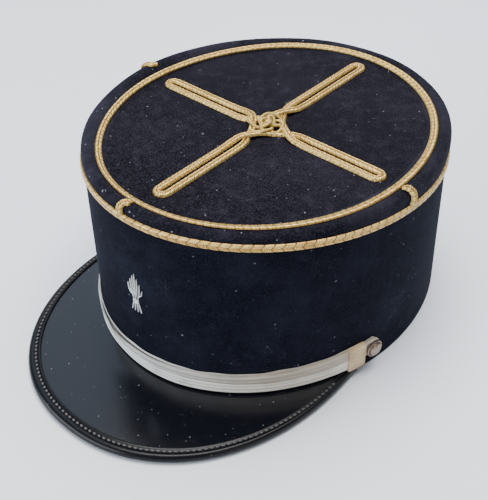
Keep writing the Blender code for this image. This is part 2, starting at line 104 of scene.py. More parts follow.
def eased(points: Array, passes: int, closed: bool = False) -> Array:
    """A line whose corners are rounded: each pass sets p to (before + 2 p + after) / 4.

    Args:
        points: rows of coordinates.
        passes: how often.
        closed: whether the line returns to its first point; if not, its ends stay.

    Returns:
        As many rows.
    """
    line = np.array(points, float)
    for _ in range(passes):
        if closed:
            line = (np.roll(line, 1, 0) + 2 * line + np.roll(line, -1, 0)) / 4
        else:
            line[1:-1] = (line[:-2] + 2 * line[1:-1] + line[2:]) / 4
    return line


def tangents(path: Array, closed: bool) -> Array:
    """The unit direction of a line at each of its points, from its two neighbours."""
    if closed:
        return unit(np.roll(path, -1, 0) - np.roll(path, 1, 0))
    return unit(np.gradient(path, axis=0))


def length_along(path: Array, closed: bool) -> Array:
    """Length from the first point to each point, and once round as a last entry if closed."""
    line = np.vstack((path, path[:1])) if closed else path
    return np.concatenate(([0.0], np.cumsum(np.linalg.norm(np.diff(line, axis=0), axis=1))))


def at_heights(plan: Array, height: Array) -> Array:
    """Points of a plan, at heights that broadcast to it."""
    level = np.broadcast_to(height, plan.shape[:-1])
    return np.concatenate((plan, level[..., None]), -1)


def between(
    table: Table, degrees: Array, column: int = 1, period: Optional[float] = None
) -> Array:
    """One column of a table, read between its rows.

    Args:
        table: rows that start with degrees.
        degrees: where to read it.
        column: which column.
        period: the degrees after which the table repeats, if it does.

    Returns:
        An amount for each place.
    """
    rows = np.array(table)
    return np.interp(degrees, rows[:, 0], rows[:, column], period=period)


def around(turn: Array, table: Table, column: int) -> Array:
    """A table's amounts round the crown, each averaged over SPREAD_DEGREES on both sides.

    Args:
        turn: angles.
        table: rows that start with a turn in degrees.
        column: which amount of a row.

    Returns:
        The amount at each turn.
    """
    at = np.degrees(np.asarray(turn, float))[..., None] + SPREAD_DEGREES
    return between(table, at, column, 360).mean(-1)


def waves(turn: Array, rounds: tuple[int, ...], shift: float) -> Array:
    """A gentle unevenness round the crown: the mean of sin(n t + shift n^2) over rounds n.

    Args:
        turn: angles t.
        rounds: how many waves of each kind go round.
        shift: sets the waves against each other.

    Returns:
        From -1 to 1 at each turn.
    """
    return sum(np.sin(n * turn + shift * n * n) for n in rounds) / len(rounds)


def placed(name: str, data: Any) -> Object:
    """A new object of the scene, at the origin."""
    made = bpy.data.objects.new(name, data)
    bpy.context.scene.collection.objects.link(made)
    return made


@dataclass
class Skin:
    """Points, faces and the UV of each face corner, gathered for one mesh."""

    points: list[Array] = field(default_factory=list)
    faces: list[list[int]] = field(default_factory=list)
    corners: list[Array] = field(default_factory=list)
    count: int = 0

    def add_grid(
        self,
        points: Array,
        along: Optional[Array] = None,
        across: Optional[Array] = None,
        ring: bool = False,
        loop: bool = True,
    ) -> "Skin":
        """Adds a closed surface through a grid of points.

        The faces are (i, j), (i, j+1), (i+1, j+1), (i+1, j), turned round if the signed volume
        they enclose, the sum of a . (b x c) / 6, comes out negative.

        Args:
            points: rows by columns by 3.
            along: U of each row, one more entry than rows if the rows close; else even.
            across: V of each column, one more entry than columns if they close; else even.
            ring: whether the last row joins the first; if not, both end in a face.
            loop: whether the last column joins the first; if not, both end in a face.

        Returns:
            This skin.
        """
        rows, columns = points.shape[:2]
        along = np.linspace(0, 1, rows + ring) if along is None else along
        across = np.linspace(0, 1, columns + loop) if across is None else across
        i, j = np.indices((rows - (not ring), columns - (not loop))).reshape(2, -1)
        steps = ((0, 0), (0, 1), (1, 1), (1, 0))
        quads = np.stack(
            [((i + a) % rows) * columns + (j + b) % columns for a, b in steps], axis=1
        )
        uv = np.stack([np.stack((along[i + a], across[j + b]), 1) for a, b in steps], axis=1)
        flat = points.reshape(-1, 3)
        a, b, c, d = (flat[quads[:, k]] - flat.mean(0) for k in range(4))
        volume = (a * (np.cross(b, c) + np.cross(c, d))).sum()
        if volume < 0:
            quads, uv = quads[:, ::-1], uv[:, ::-1]
        self.points.append(flat)
        self.faces += (quads + self.count).tolist()
        self.corners.append(uv.reshape(-1, 2))
        row, column = np.arange(rows), np.arange(columns)
        ends = [] if ring else [(0, column[::-1]), (rows - 1, column)]
        ends += [] if loop else [(row, 0), (row[::-1], columns - 1)]
        for end in ends:
            i, j = (place[:: -1 if volume < 0 else 1] for place in np.broadcast_arrays(*end))
            self.faces.append((i * columns + j + self.count).tolist())
            self.corners.append(np.column_stack((along[i], across[j])))
        self.count += len(flat)
        return self

    def piece(self, name: str, sharp: float = 50.0) -> Object:
        """The object of this skin, smooth but for edges sharper than an angle.

        Args:
            name: the object's name.
            sharp: the angle in degrees.

        Returns:
            The object, at the origin.
        """
        mesh = bpy.data.meshes.new(name)
        mesh.from_pydata(np.vstack(self.points).tolist(), [], self.faces)
        weave = mesh.uv_layers.new(name="Weave")
        weave.data.foreach_set("uv", np.vstack(self.corners).astype(np.float32).ravel())
        mesh.shade_smooth()
        mesh.set_sharp_from_angle(angle=math.radians(sharp))
        return placed(name, mesh)


def swept(path: Array, ups: Array, sides: Array, rises: Array, closed: bool) -> Array:
    """A section carried along a path: path + side * s + up * r.

    The side is the tangent crossed with the up direction, and the up is squared to both.

    Args:
        path: points of the middle line.
        ups: the direction the section's upper face looks in, at each point.
        sides: sideways places of the section's points, for all rows or one row each.
        rises: their heights, alike.
        closed: whether the path returns to its first point.

    Returns:
        Rows by section points by 3.
    """
    ahead = tangents(path, closed)
    side = unit(np.cross(ahead, ups))
    up = np.cross(side, ahead)
    shape = (len(path), np.shape(sides)[-1])
    sides = np.broadcast_to(sides, shape)[..., None]
    rises = np.broadcast_to(rises, shape)[..., None]
    return path[:, None] + side[:, None] * sides + up[:, None] * rises


# Shares of the roll's reach inwards, of its rise and of its bulge, from the rim to the crest
EDGE_ROUND: Table = (
    (0.00, 0.00, 0.00), (-0.02, 0.32, 0.30), (-0.02, 0.60, 0.75), (0.06, 0.82, 1.00),
    (0.22, 0.95, 0.95), (0.44, 1.00, 0.75), (0.70, 1.00, 0.40),
)
# Turn in degrees, and how far the roll bulges out and up there
ROLL_SWELL: Table = (
    (-180, 0.0010, 0.0014), (-138, 0.0012, 0.0018), (-110, 0.0023, 0.0029), (-90, 0.0030, 0.0030),
    (-70, 0.0030, 0.0021), (-50, 0.0017, 0.0006), (-30, 0.0004, 0.0), (0, 0.0, 0.0), (80, 0.0, 0.0),
    (115, 0.0012, 0.0006), (135, 0.0018, 0.0009), (155, 0.0012, 0.0010),
)
# Turn in degrees, how far in the ring lies there, and the share of its width that shows
RING_PLACES: Table = (
    (-150, 0.0016, 0.86), (-110, 0.0030, 0.86), (-88, 0.0020, 0.86), (-68, 0.0013, 0.84),
    (-48, 0.0013, 0.84), (-30, 0.0006, 0.84), (-12, -0.0007, 0.88), (20, -0.0014, 0.94),
    (55, -0.0011, 1.0), (78, -0.0007, 1.0), (98, -0.0001, 1.0), (118, 0.0005, 1.0),
    (150, 0.0016, 0.96), (180, 0.0014, 0.88),
)


@dataclass(frozen=True)
class CrownForm:
    """The sizes that the crown's pieces share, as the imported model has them."""

    base_half_width: float = 0.0840
    base_half_depth: float = 0.0995
    rim_half_width: float = 0.0844
    rim_half_depth: float = 0.0943
    rim_ahead: float = 0.0025
    rim_height: float = 0.0871
    rim_slope: float = 0.066
    edge_reach: float = 0.0074
    edge_rise: float = 0.0099
    crest_slope: float = 0.002
    front_lift: float = 0.0026
    lip_reach: float = 0.0032
    lip_drop: float = 0.0016
    lip_overlap: tuple[float, float] = (-0.0007, 0.00012)

    def oval(self, width: float, depth: float, ahead: float, turn: Array, out: Array) -> Array:
        """Plan of an oval: (w sin t, m - a - d cos t), moved out along its gradient.

        Args:
            width: half width w.
            depth: half depth d.
            ahead: how far its middle lies in front of the crown's, a.
            turn: angles t.
            out: distances outwards.

        Returns:
            Rows of x, y.
        """
        turn, out = np.broadcast_arrays(np.asarray(turn, float), out)
        east, north = np.sin(turn), -np.cos(turn)
        outwards = unit(np.stack((east / width, north / depth), -1))
        plan = np.stack((width * east, CROWN_MIDDLE_Y - ahead + depth * north), -1)
        return plan + outwards * out[..., None]

    def rim_z(self, turn: Array) -> Array:
        """Height of the seam between the wall and the rolled edge."""
        return self.rim_height + self.rim_slope * self.rim_half_depth * np.cos(turn)

    def rim(self, turn: Array, out: Array = 0.0, up: Array = 0.0) -> Array:
        """Points beside the rim, moved out and up."""
        plan = self.oval(self.rim_half_width, self.rim_half_depth, self.rim_ahead, turn, out)
        return at_heights(plan, self.rim_z(turn) + up)

    def wall(self, turn: Array, height: Array, out: Array = 0.0) -> Array:
        """Points of the wall's outer face: foot + (rim - foot) z / rim height, moved out."""
        foot = self.oval(self.base_half_width, self.base_half_depth, 0.0, turn, out)
        top = self.oval(self.rim_half_width, self.rim_half_depth, self.rim_ahead, turn, out)
        share = np.broadcast_to(height / self.rim_z(turn), foot.shape[:-1])[..., None]
        return at_heights(foot + (top - foot) * share, height)

    def outwards(self, turn: Array, height: Array) -> Array:
        """The wall's outward direction."""
        return unit(self.wall(turn, height, 0.001) - self.wall(turn, height, 0.0))

    def turn_past(self, turn: float, distance: float) -> float:
        """The turn that lies a distance further round the foot."""
        speed = math.hypot(
            self.base_half_width * math.cos(turn), self.base_half_depth * math.sin(turn)
        )
        return turn + distance / speed

    def top_z(self, y: Array) -> Array:
        """Height of the sunk disc's face at a depth of the frame."""
        ahead = y - CROWN_MIDDLE_Y + self.rim_ahead
        return self.rim_height + self.edge_rise - self.crest_slope * ahead - self.lip_drop

    def swell(self, turn: Array) -> Array:
        """How far the roll bulges beyond the plain form, as (out, up), from ROLL_SWELL."""
        return np.stack([around(turn, ROLL_SWELL, column) for column in (1, 2)], -1)

    def edge_profile(self, turn: Array) -> Array:
        """The rolled edge's outer skin at each turn, as (out, up) from the rim.

        It climbs from the rim in EDGE_ROUND's shares of the reach, of the local rise and of the
        bulge, and then falls in a straight slope to the lip, which overlaps the sunk disc.

        Args:
            turn: angles, one to a row.

        Returns:
            Turns by nine points by 2.
        """
        crest = self.top_z(self.rim(turn)[..., 1]) + self.lip_drop - self.rim_z(turn)
        bulge, raised = self.swell(turn).T
        lift = self.front_lift * np.maximum(0.0, np.cos(turn)) ** 3 + raised
        rise = crest + lift - CLEARANCE
        table = np.array(EDGE_ROUND)
        out = bulge[:, None] * table[:, 2] - self.edge_reach * table[:, 0]
        up = CLEARANCE + rise[:, None] * table[:, 1]
        lip = np.full_like(crest, -self.edge_reach - self.lip_reach)
        end = np.stack((lip, crest - self.lip_drop), -1)
        end += self.lip_overlap
        start = np.stack((out[:, -1], up[:, -1]), -1)
        share = (-self.edge_reach - start[:, :1]) / (end[:, :1] - start[:, :1])
        ring = start + share * (end - start)
        return np.concatenate((np.stack((out, up), -1), ring[:, None], end[:, None]), 1)


CROWN = CrownForm()


class Amount:
    """A socket that arithmetic works on: each operator adds a Math node."""

    def __init__(self, shading: "Shading", socket: bpy.types.NodeSocket) -> None:
        """Wraps a socket of a material's nodes."""
        self.shading = shading
        self.socket = socket

    def maths(self, operation: str, *others: Union["Amount", float]) -> "Amount":
        """A Math node on this amount.

        Args:
            operation: the node's operation.
            others: its further inputs.

        Returns:
            What the node puts out.
        """
        inputs = dict(enumerate((self, *others)))
        return self.shading.node("ShaderNodeMath", {"operation": operation}, inputs)

    def __add__(self, other: Union["Amount", float]) -> "Amount":
        """This plus the other."""
        return self.maths("ADD", other)

    def __mul__(self, other: Union["Amount", float]) -> "Amount":
        """This times the other."""
        return self.maths("MULTIPLY", other)

    __rmul__ = __mul__

    def __sub__(self, other: Union["Amount", float]) -> "Amount":
        """This less the other."""
        return self.maths("SUBTRACT", other)

    def __rsub__(self, other: float) -> "Amount":
        """The other less this."""
        return (self * -1.0) + other

    def __pow__(self, other: float) -> "Amount":
        """This to a power."""
        return self.maths("POWER", other)

    def __abs__(self) -> "Amount":
        """Its size without its sign."""
        return self.maths("ABSOLUTE")

    def part(self) -> "Amount":
        """What is left of it over the last whole number."""
        return self.maths("FRACT")

    def wave(self) -> "Amount":
        """From 0 to 1 and back once for each whole number: 0.5 - 0.5 cos(2 pi x)."""
        return 0.5 - 0.5 * (self * math.tau).maths("COSINE")

    def fade(self, low: float, high: float) -> "Amount":
        """0 at low and 1 at high, smoothly between them."""
        return self.shading.node(
            "ShaderNodeMapRange",
            {"interpolation_type": "SMOOTHSTEP"},
            {0: self, 1: low, 2: high, 3: 0.0, 4: 1.0},
        )


class Shading:
    """The nodes of one material round its Principled shader."""

    def __init__(self, name: str) -> None:
        """Starts a material with a plain shader."""
        self.material = bpy.data.materials.new(name)
        self.material.use_nodes = True
        self.tree = self.material.node_tree
        self.shader = self.tree.nodes["Principled BSDF"]

    def feed(self, socket: bpy.types.NodeSocket, value: Any) -> None:
        """Links an amount to a socket, or sets the socket's own value."""
        if isinstance(value, Amount):
            self.tree.links.new(value.socket, socket)
        else:
            opaque = socket.type == "RGBA" and np.shape(value) == (3,)
            socket.default_value = (*value, 1.0) if opaque else value

    def node(
        self,
        kind: str,
        settings: Optional[dict[str, Any]] = None,
        inputs: Optional[dict[Union[int, str], Any]] = None,
        output: Union[int, str] = 0,
    ) -> Amount:
        """Any node.

        Args:
            kind: the node's type.
            settings: what is set on the node itself, with "stops" for a ramp's (place, colour).
            inputs: values or links of its sockets.
            output: which socket to return.

        Returns:
            That output.
        """
        made = self.tree.nodes.new(kind)
        for key, value in (settings or {}).items():
            if key == "stops":
                ramp = made.color_ramp
                for place, colour in value[2:]:
                    ramp.elements.new(place)
                for element, (place, colour) in zip(ramp.elements, sorted(value)):
                    element.position = place
                    element.color = (*colour, 1.0)
            else:
                setattr(made, key, value)
        for key, value in (inputs or {}).items():
            self.feed(made.inputs[key], value)
        return Amount(self, made.outputs[output])

    def mix(self, factor: Union[Amount, float], first: Any, second: Any) -> Amount:
        """A colour between two: the first at factor 0 and the second at 1."""
        inputs = {0: factor, 6: first, 7: second}
        return self.node("ShaderNodeMix", {"data_type": "RGBA"}, inputs, 2)

    def place(self) -> Amount:
        """Object coordinates, in metres."""
        return self.node("ShaderNodeTexCoord", output="Object")

    def weave(self) -> tuple[Amount, Amount]:
        """The piece's own U and V."""
        uv = self.node("ShaderNodeUVMap", {"uv_map": "Weave"})
        return tuple(self.node("ShaderNodeSeparateXYZ", inputs={0: uv}, output=k) for k in (0, 1))

    def noise(self, scale: float, detail: float = 2.0, rough: float = 0.5) -> Amount:
        """Noise on Object coordinates, so many cells to the metre."""
        inputs = {"Vector": self.place(), "Scale": scale, "Detail": detail, "Roughness": rough}
        return self.node("ShaderNodeTexNoise", inputs=inputs)

    def specks(self, scale: float, radius: float, share: float) -> Amount:
        """Sparse uneven dots: up to 1 inside a radius of a few of the cells' own points.

        Args:
            scale: cells to the metre.
            radius: of a dot, as a share of a cell.
            share: of the cells that hold a dot.

        Returns:
            The dots' mask.
        """
        uneven = {"Vector": self.place(), "Scale": scale * 3.0}
        drift = self.node("ShaderNodeTexNoise", {}, uneven, "Color")
        reach = 3.5 * radius / scale
        bent = self.node(
            "ShaderNodeVectorMath",
            {"operation": "MULTIPLY_ADD"},
            {0: drift, 1: (reach, reach, reach), 2: self.place()},
        )
        cells = {"Vector": bent, "Scale": scale}
        near = self.node("ShaderNodeTexVoronoi", {}, cells, "Distance")
        pick = self.node("ShaderNodeTexVoronoi", {}, cells, "Color")
        kind = "ShaderNodeSeparateColor"
        chosen, bright = (self.node(kind, inputs={0: pick}, output=k) for k in (0, 1))
        dot = 1.0 - near.fade(radius * 0.3, radius)
        return dot * chosen.maths("LESS_THAN", share) * (bright * 0.75 + 0.25)

    def bump(self, height: Amount, distance: float) -> None:
        """Gives the shader a normal from a height in shares of a distance."""
        inputs = {"Strength": 1.0, "Distance": distance, "Height": height}
        self.sets({"Normal": self.node("ShaderNodeBump", inputs=inputs, output="Normal")})

    def sets(self, values: dict[str, Any]) -> None:
        """Sets or links sockets of the shader."""
        for socket, value in values.items():
            self.feed(self.shader.inputs[socket], value)


@dataclass(frozen=True)
class Finish:
    """A procedural material. Each kind of finish lays its own nodes."""

    name: str

    def lay(self, shading: Shading) -> None:
        """Lays the nodes and sets the shader's sockets."""
        raise NotImplementedError

    @cache
    def material(self) -> Material:
        """The material, made once for all the pieces that have it."""
        shading = Shading(self.name)
        self.lay(shading)
        return shading.material


@dataclass(frozen=True)
class NappedCloth(Finish):
    """Dark cloth with a pile: brushed patches, a cool sheen, lint and short pale hairs."""

    dark: Colour
    light: Colour
    sheen: Colour
    sheen_weight: float
    pile_depth: float
    lint: float
    patchy: float = 0.40
    pile_scale: float = 1500.0
    nap_scale: float = 170.0
    patch_scale: float = 28.0
    lint_colour: Colour = (0.32, 0.33, 0.38)

    def lay(self, shading: Shading) -> None:
        """Pile as fine noise, nap and patches as coarser noise, and lint as dots and streaks."""
        pile = shading.noise(self.pile_scale, 2.0, 0.8)
        nap = shading.noise(self.nap_scale, 4.0, 0.75)
        patches = shading.noise(self.patch_scale, 3.0, 0.6).fade(0.42, 0.70)
        rise = pile.fade(0.42, 0.72) * 0.70 + nap.fade(0.45, 0.75) * 0.30
        colour = shading.mix(rise, self.dark, self.light)
        colour = shading.mix(patches * self.patchy, colour, self.light)
        dust = shading.noise(950.0, 3.0, 0.8).fade(0.66, 0.80) * (patches * 0.22 + 0.10)
        fluff = shading.noise(330.0, 4.0, 0.85).fade(0.69, 0.82) * 0.22 + dust
        small = shading.specks(330.0, 0.16, 0.12 * self.lint)
        dots = small + shading.specks(120.0, 0.075, 0.22 * self.lint)
        curled = {"Vector": shading.place(), "Scale": 70.0, "Detail": 1.0, "Distortion": 2.5}
        hairs = shading.node("ShaderNodeTexNoise", inputs=curled)
        hairs = (1.0 - abs(hairs - 0.5).fade(0.0, 0.0022)) * shading.noise(24.0).fade(0.60, 0.66)
        mark = (fluff + dots * 0.6 + hairs * 0.35).maths("MINIMUM", 0.75)
        shading.sets({
            "Base Color": shading.mix(mark * self.lint, colour, self.lint_colour),
            "Roughness": pile * 0.15 + 0.82,
            "Specular IOR Level": 0.06,
            "Sheen Weight": self.sheen_weight,
            "Sheen Roughness": 0.45,
            "Sheen Tint": self.sheen,
        })
        shading.bump(pile + nap * 0.5, self.pile_depth)


@dataclass(frozen=True)
class PlaitedGold(Finish):
    """Flat plait of gilt thread: V-shaped strands with fine thread lines and russet gaps.

    U counts strands and V runs across the plait from 0 to 1. A strand's phase is
    U + slant * |2 V - 1|, so that it bends back at the middle line. Glints and highlights
    along the plait's edges are painted into its colour, and so is shade along its middle,
    at its outermost edges and towards the side where V nears 1.
    """

    slant: float
    threads: float
    pale: Colour
    deep: Colour
    gap: Colour
    gap_width: float
    # These two set the painted shade along the plait's middle line and towards the side where V
    # nears 1
    shaded_crease: float
    foot: float
    metallic: float = 0.80
    relief: float = 0.00028

    def lay(self, shading: Shading) -> None:
        """Each strand swells between its gaps, and carries threads along its own slant."""
        u, v = shading.weave()
        out = abs(v * 2.0 - 1.0)
        phase = (u + out * self.slant).part()
        edge = abs(phase - 0.5) * 2.0
        swell = 1.0 - edge ** 3.0
        groove = edge.fade(1.0 - self.gap_width, 1.0 - self.gap_width * 0.3)
        thread = (phase * self.threads + out * 1.5).wave()
        grit = shading.noise(1500.0, 2.0, 0.8)
        glint = shading.noise(2300.0, 1.0, 0.5).fade(0.55, 0.72)
        wear = shading.noise(110.0, 4.0, 0.65)
        # Painted shade along the middle line, where the two halves of the plait meet; it also sinks
        # the bump there.
        shaded_crease = (1.0 - out.fade(0.0, 0.18)) * self.shaded_crease
        # Painted highlights: glint noise and the plait's edges make the colour paler, beside the
        # tone of threads and grit.
        light = thread * 0.35 + grit * 0.60 + glint * 0.40 + out.fade(0.25, 0.65) * 0.20
        colour = shading.mix(light.fade(0.36, 0.88), self.deep, self.pale)
        colour = shading.mix(wear.fade(0.46, 0.70) * 0.45, colour, self.deep)
        # Painted shade: darker at the outermost edges, towards the side where V nears 1, and along
        # the middle line.
        shade = out.fade(0.84, 1.0) * 0.45 + v.fade(0.62, 0.95) * self.foot + shaded_crease
        colour = shading.mix(shade.maths("MINIMUM", 1.0), colour, self.deep)
        strand = 1.0 - groove
        shading.sets({
            "Base Color": shading.mix(groove * 0.90, colour, self.gap),
            "Metallic": strand * self.metallic,
            "Specular IOR Level": 0.3,
            "Coat Weight": glint * strand * 0.3,
            "Coat Roughness": 0.18,
            "Roughness": grit * 0.30 + (thread * -0.08 + 0.24),
        })
        shading.bump(swell * 0.50 + thread * 0.30 + grit * 0.50 - shaded_crease, self.relief)


@dataclass(frozen=True)
class RibbedSilver(Finish):
    """Silver strap cloth: ribs along it, fine threads over them, and a greyer upper part.

    It is white at the front and painted warmer towards the wearer's left, as warm light
    would make it, and there its soiled grey upper part reaches lower.
    """

    pale: Colour
    grey: Colour
    cream: Colour
    soiled: Colour
    line: Colour
    ribs: float
    threads: float
    relief: float = 0.00036

    def lay(self, shading: Shading) -> None:
        """V crosses the strap over so many ribs, and U counts millimetres along it."""
        u, v = shading.weave()
        rib = (v * self.ribs).wave()
        thread = (u * self.threads + v * 6.0).wave()
        stretched = shading.node("ShaderNodeCombineXYZ", inputs={0: u * 0.05, 1: v * 26.0})
        drawn = {"Vector": stretched, "Scale": 1.0, "Detail": 3.0}
        streak = shading.node("ShaderNodeTexNoise", inputs=drawn)
        wear = shading.noise(70.0, 3.0)
        grit = shading.noise(1500.0, 2.0, 0.7)
        east = shading.node("ShaderNodeSeparateXYZ", inputs={0: shading.place()})
        # Painted warm light: towards +X the strap's white and grey turn warmer; the soiled grey
        # upper band also reaches lower there.
        warm_light_and_soiling = east.fade(0.0, 0.070)
        level = v + warm_light_and_soiling * 0.17 + (wear - 0.5) * 0.16
        # Painted shade: a dark line along the fold at the edge of the grey band.
        fold_shade_line = 1.0 - abs(level - 0.72).fade(0.0, 0.022)
        pale = shading.mix(warm_light_and_soiling, self.pale, self.cream)
        grey = shading.mix(warm_light_and_soiling, self.grey, self.soiled)
        colour = shading.mix(level.fade(0.70, 0.76) * 0.85, pale, grey)
        stain = streak.fade(0.56, 0.78) * 0.40 + wear.fade(0.60, 0.74) * 0.25
        colour = shading.mix(stain, colour, self.line)
        # Painted shade in the grooves between the ribs, patchy with the wear noise.
        groove = (1.0 - rib).fade(0.74, 1.0) * wear.fade(0.40, 0.66) * 0.48
        fine = groove + (1.0 - thread).fade(0.5, 1.0) * 0.18 + grit.fade(0.55, 0.8) * 0.45
        lines = (fine + fold_shade_line * 0.75).maths("MINIMUM", 0.9)
        shading.sets({
            "Base Color": shading.mix(lines, colour, self.line),
            "Metallic": 0.04,
            "Roughness": thread * 0.10 + (wear * 0.2 + 0.38),
        })
        shading.bump(rib * 0.6 + thread * 0.3 + streak * 0.4 + grit * 0.3, self.relief)


@dataclass(frozen=True)
class WovenCloth(Finish):
    """Plain close weave: threads one way over threads the other, slightly soiled."""

    pale: Colour
    soiled: Colour
    warp: float
    weft: float
    relief: float = 0.00015

    def lay(self, shading: Shading) -> None:
        """U and V count millimetres, and the weave is sin(a u) sin(b v)."""
        u, v = shading.weave()
        warp = (u * self.warp).wave()
        weft = (v * self.weft).wave()
        wear = shading.noise(150.0, 3.0, 0.6)
        colour = shading.mix(wear.fade(0.35, 0.75), self.pale, self.soiled)
        gaps = (1.0 - warp) * 0.25 + (1.0 - weft) * 0.15
        shading.sets({
            "Base Color": shading.mix(gaps, colour, self.soiled),
            "Roughness": wear * 0.2 + 0.55,
            "Metallic": 0.08,
        })
        shading.bump(warp * weft + wear * 0.3, self.relief)


@dataclass(frozen=True)
class BlackLeather(Finish):
    """Polished black leather with fine grain, faint scuffs and settled dust."""

    colour: Colour
    roughness: float
    grain: float
    dust: float
    coat: float = 0.0
    specular: float = 0.5
    dust_colour: Colour = (0.40, 0.41, 0.44)
    grain_scale: float = 1600.0

    def lay(self, shading: Shading) -> None:
        """Grain from cell distances, scuffs from stretched noise, and dust as sparse dots."""
        scuff = shading.noise(38.0, 5.0, 0.7)
        cells = {"Vector": shading.place(), "Scale": self.grain_scale}
        grain = shading.node("ShaderNodeTexVoronoi", {}, cells, "Distance")
        dust = shading.specks(250.0, 0.085, 0.30) + shading.specks(430.0, 0.12, 0.14)
        film = shading.noise(300.0, 4.0, 0.8).fade(0.58, 0.80) * 0.05
        mark = ((dust * 0.8 + film) * self.dust).maths("MINIMUM", 0.8)
        shading.sets({
            "Base Color": shading.mix(mark, self.colour, self.dust_colour),
            "Roughness": scuff * 0.16 + dust * 0.4 + (self.roughness - 0.08),
            "Specular IOR Level": self.specular,
            "Coat Weight": self.coat,
            "Coat Roughness": 0.12,
        })
        shading.bump(grain * 0.6 + scuff * 0.4, self.grain)


@dataclass(frozen=True)
class SewingThread(Finish):
    """Twisted thread: pale and deep in turn along its twist, and unevenly worn."""

    pale: Colour
    deep: Colour
    twist: float
    metallic: float = 0.0
    roughness: float = 0.5
    relief: float = 0.00010

    def lay(self, shading: Shading) -> None:
        """U runs along the thread and V round it, and the twist is u * twist + v."""
        u, v = shading.weave()
        twist = (u * self.twist + v).wave()
        wear = shading.noise(500.0, 2.0)
        shading.sets({
            "Base Color": shading.mix(twist * 0.6 + wear * 0.4, self.deep, self.pale),
            "Roughness": wear * 0.2 + self.roughness,
            "Metallic": self.metallic,
        })
        shading.bump(twist + wear * 0.4, self.relief)


@dataclass(frozen=True)
class SilveredMetal(Finish):
    """Stamped and silvered metal, darker in its hollows and rubbed on its high places.

    V is the distance from the button's middle, as a share of its radius.
    """

    bright: Colour
    tarnish: Colour
    petals: float = 8.0
    relief: float = 0.00010

    def lay(self, shading: Shading) -> None:
        """Tarnish gathers in the ring before the rim and where noise is low."""
        u, v = shading.weave()
        ring = 1.0 - abs(v - 0.80).fade(0.0, 0.09)
        petals = (u * self.petals).wave() * v.fade(0.15, 0.35) * (1.0 - v.fade(0.62, 0.74))
        wear = shading.noise(700.0, 3.0, 0.7)
        dark = ring * 0.75 + wear.fade(0.45, 0.70) * 0.45 + (1.0 - petals) * 0.10
        dark = dark.maths("MINIMUM", 1.0)
        shading.sets({
            "Base Color": shading.mix(dark, self.bright, self.tarnish),
            "Metallic": 1.0 - dark * 0.35,
            "Roughness": dark * 0.25 + 0.28,
        })
        shading.bump(wear * 0.5 + petals, self.relief)


@dataclass(frozen=True)
class PaleTable(Finish):
    """A smooth pale table top."""

    name: str = "Pale table"
    colour: Colour = (0.83, 0.89, 0.99)
    warmth: Colour = (0.99, 0.965, 0.93)

    def lay(self, shading: Shading) -> None:
        """A flat pale colour with a trace of unevenness."""
        drift = shading.noise(3.0, 2.0)
        warm = tuple(c * w for c, w in zip(self.colour, self.warmth))
        colour = shading.mix(drift.fade(0.3, 0.7), self.colour, warm)
        shading.sets({"Base Color": colour, "Roughness": 0.55})


def settle(piece: Object, finish: Finish, slot: Slot, *nodes: str) -> None:
    """Dresses a piece, sets it on the body and hides the CAD nodes it stands for.

    Args:
        piece: the object.
        finish: what it is dressed in.
        slot: the record's slot for it; not used.
        nodes: CAD nodes that it replaces.
    """
    piece.data.materials.append(finish.material())
    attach(piece, "root")
    if nodes:
        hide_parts(*nodes)
    LOG.info("%s: %d faces, %s", piece.name, len(piece.data.polygons), finish.name)


@dataclass(frozen=True)
class Plait:
    """A flat plaited band: a section of two soft ridges whose strands slant back in a V."""

    width: float
    thickness: float
    pitch: float
    slant: float
    relief: float
    ridge: float
    top_points: int = 17
    rows_per_strand: int = 8

    def section(self) -> tuple[Array, Array]:
        """Sideways places and relative heights of the section, round it once.

        The top is (1 - |a|^4)^(1/2) * (1 - ridge + ridge |sin(pi a)|) over a from -1 to 1, and
        the back is flat.

        Returns:
            Shares of the half width, and shares of the thickness.
        """
        a = np.linspace(-1, 1, self.top_points)
        ridges = 1 - self.ridge + self.ridge * np.abs(np.sin(math.pi * a))
        high = np.sqrt(1 - np.abs(a) ** 4) * ridges
        back = np.linspace(1, -1, 5)[1:-1]
        return np.concatenate((a, back)), np.concatenate((high, np.zeros(3)))

    def strand_count(self, length: float) -> int:
        """Whole strands along a length."""
        return max(3, round(length / self.pitch))

    def band(
        self, path: Array, ups: Array, closed: bool, widths: Optional[Array] = None
    ) -> tuple[Array, Array, Array]:
        """The plait's surface along a path.

        Each strand lifts the top by relief * (0.5 - 0.5 cos(2 pi (u + slant |a|))).

        Args:
            path: the middle of its back, in even steps.
            ups: the way its face looks.
            closed: whether it is a ring.
            widths: shares of the width along it.

        Returns:
            Points, the U of each row and the V of each column, as a loop.
        """
        shares, heights = self.section()
        along = length_along(path, closed)
        u = along / along[-1] * self.strand_count(along[-1])
        rows = u[:-1] if closed else u
        scale = np.ones(len(path)) if widths is None else widths
        phase = rows[:, None] + self.slant * np.abs(shares)
        lift = self.relief * (0.5 - 0.5 * np.cos(math.tau * phase)) * (heights > 0.3)
        rises = (self.thickness * heights + lift) * np.minimum(1.0, scale[:, None] * 1.3)
        sides = shares * self.width / 2 * scale[:, None]
        points = swept(path, ups, sides, rises, closed)
        v = (shares + 1) / 2
        return points, u, np.append(v, v[0])


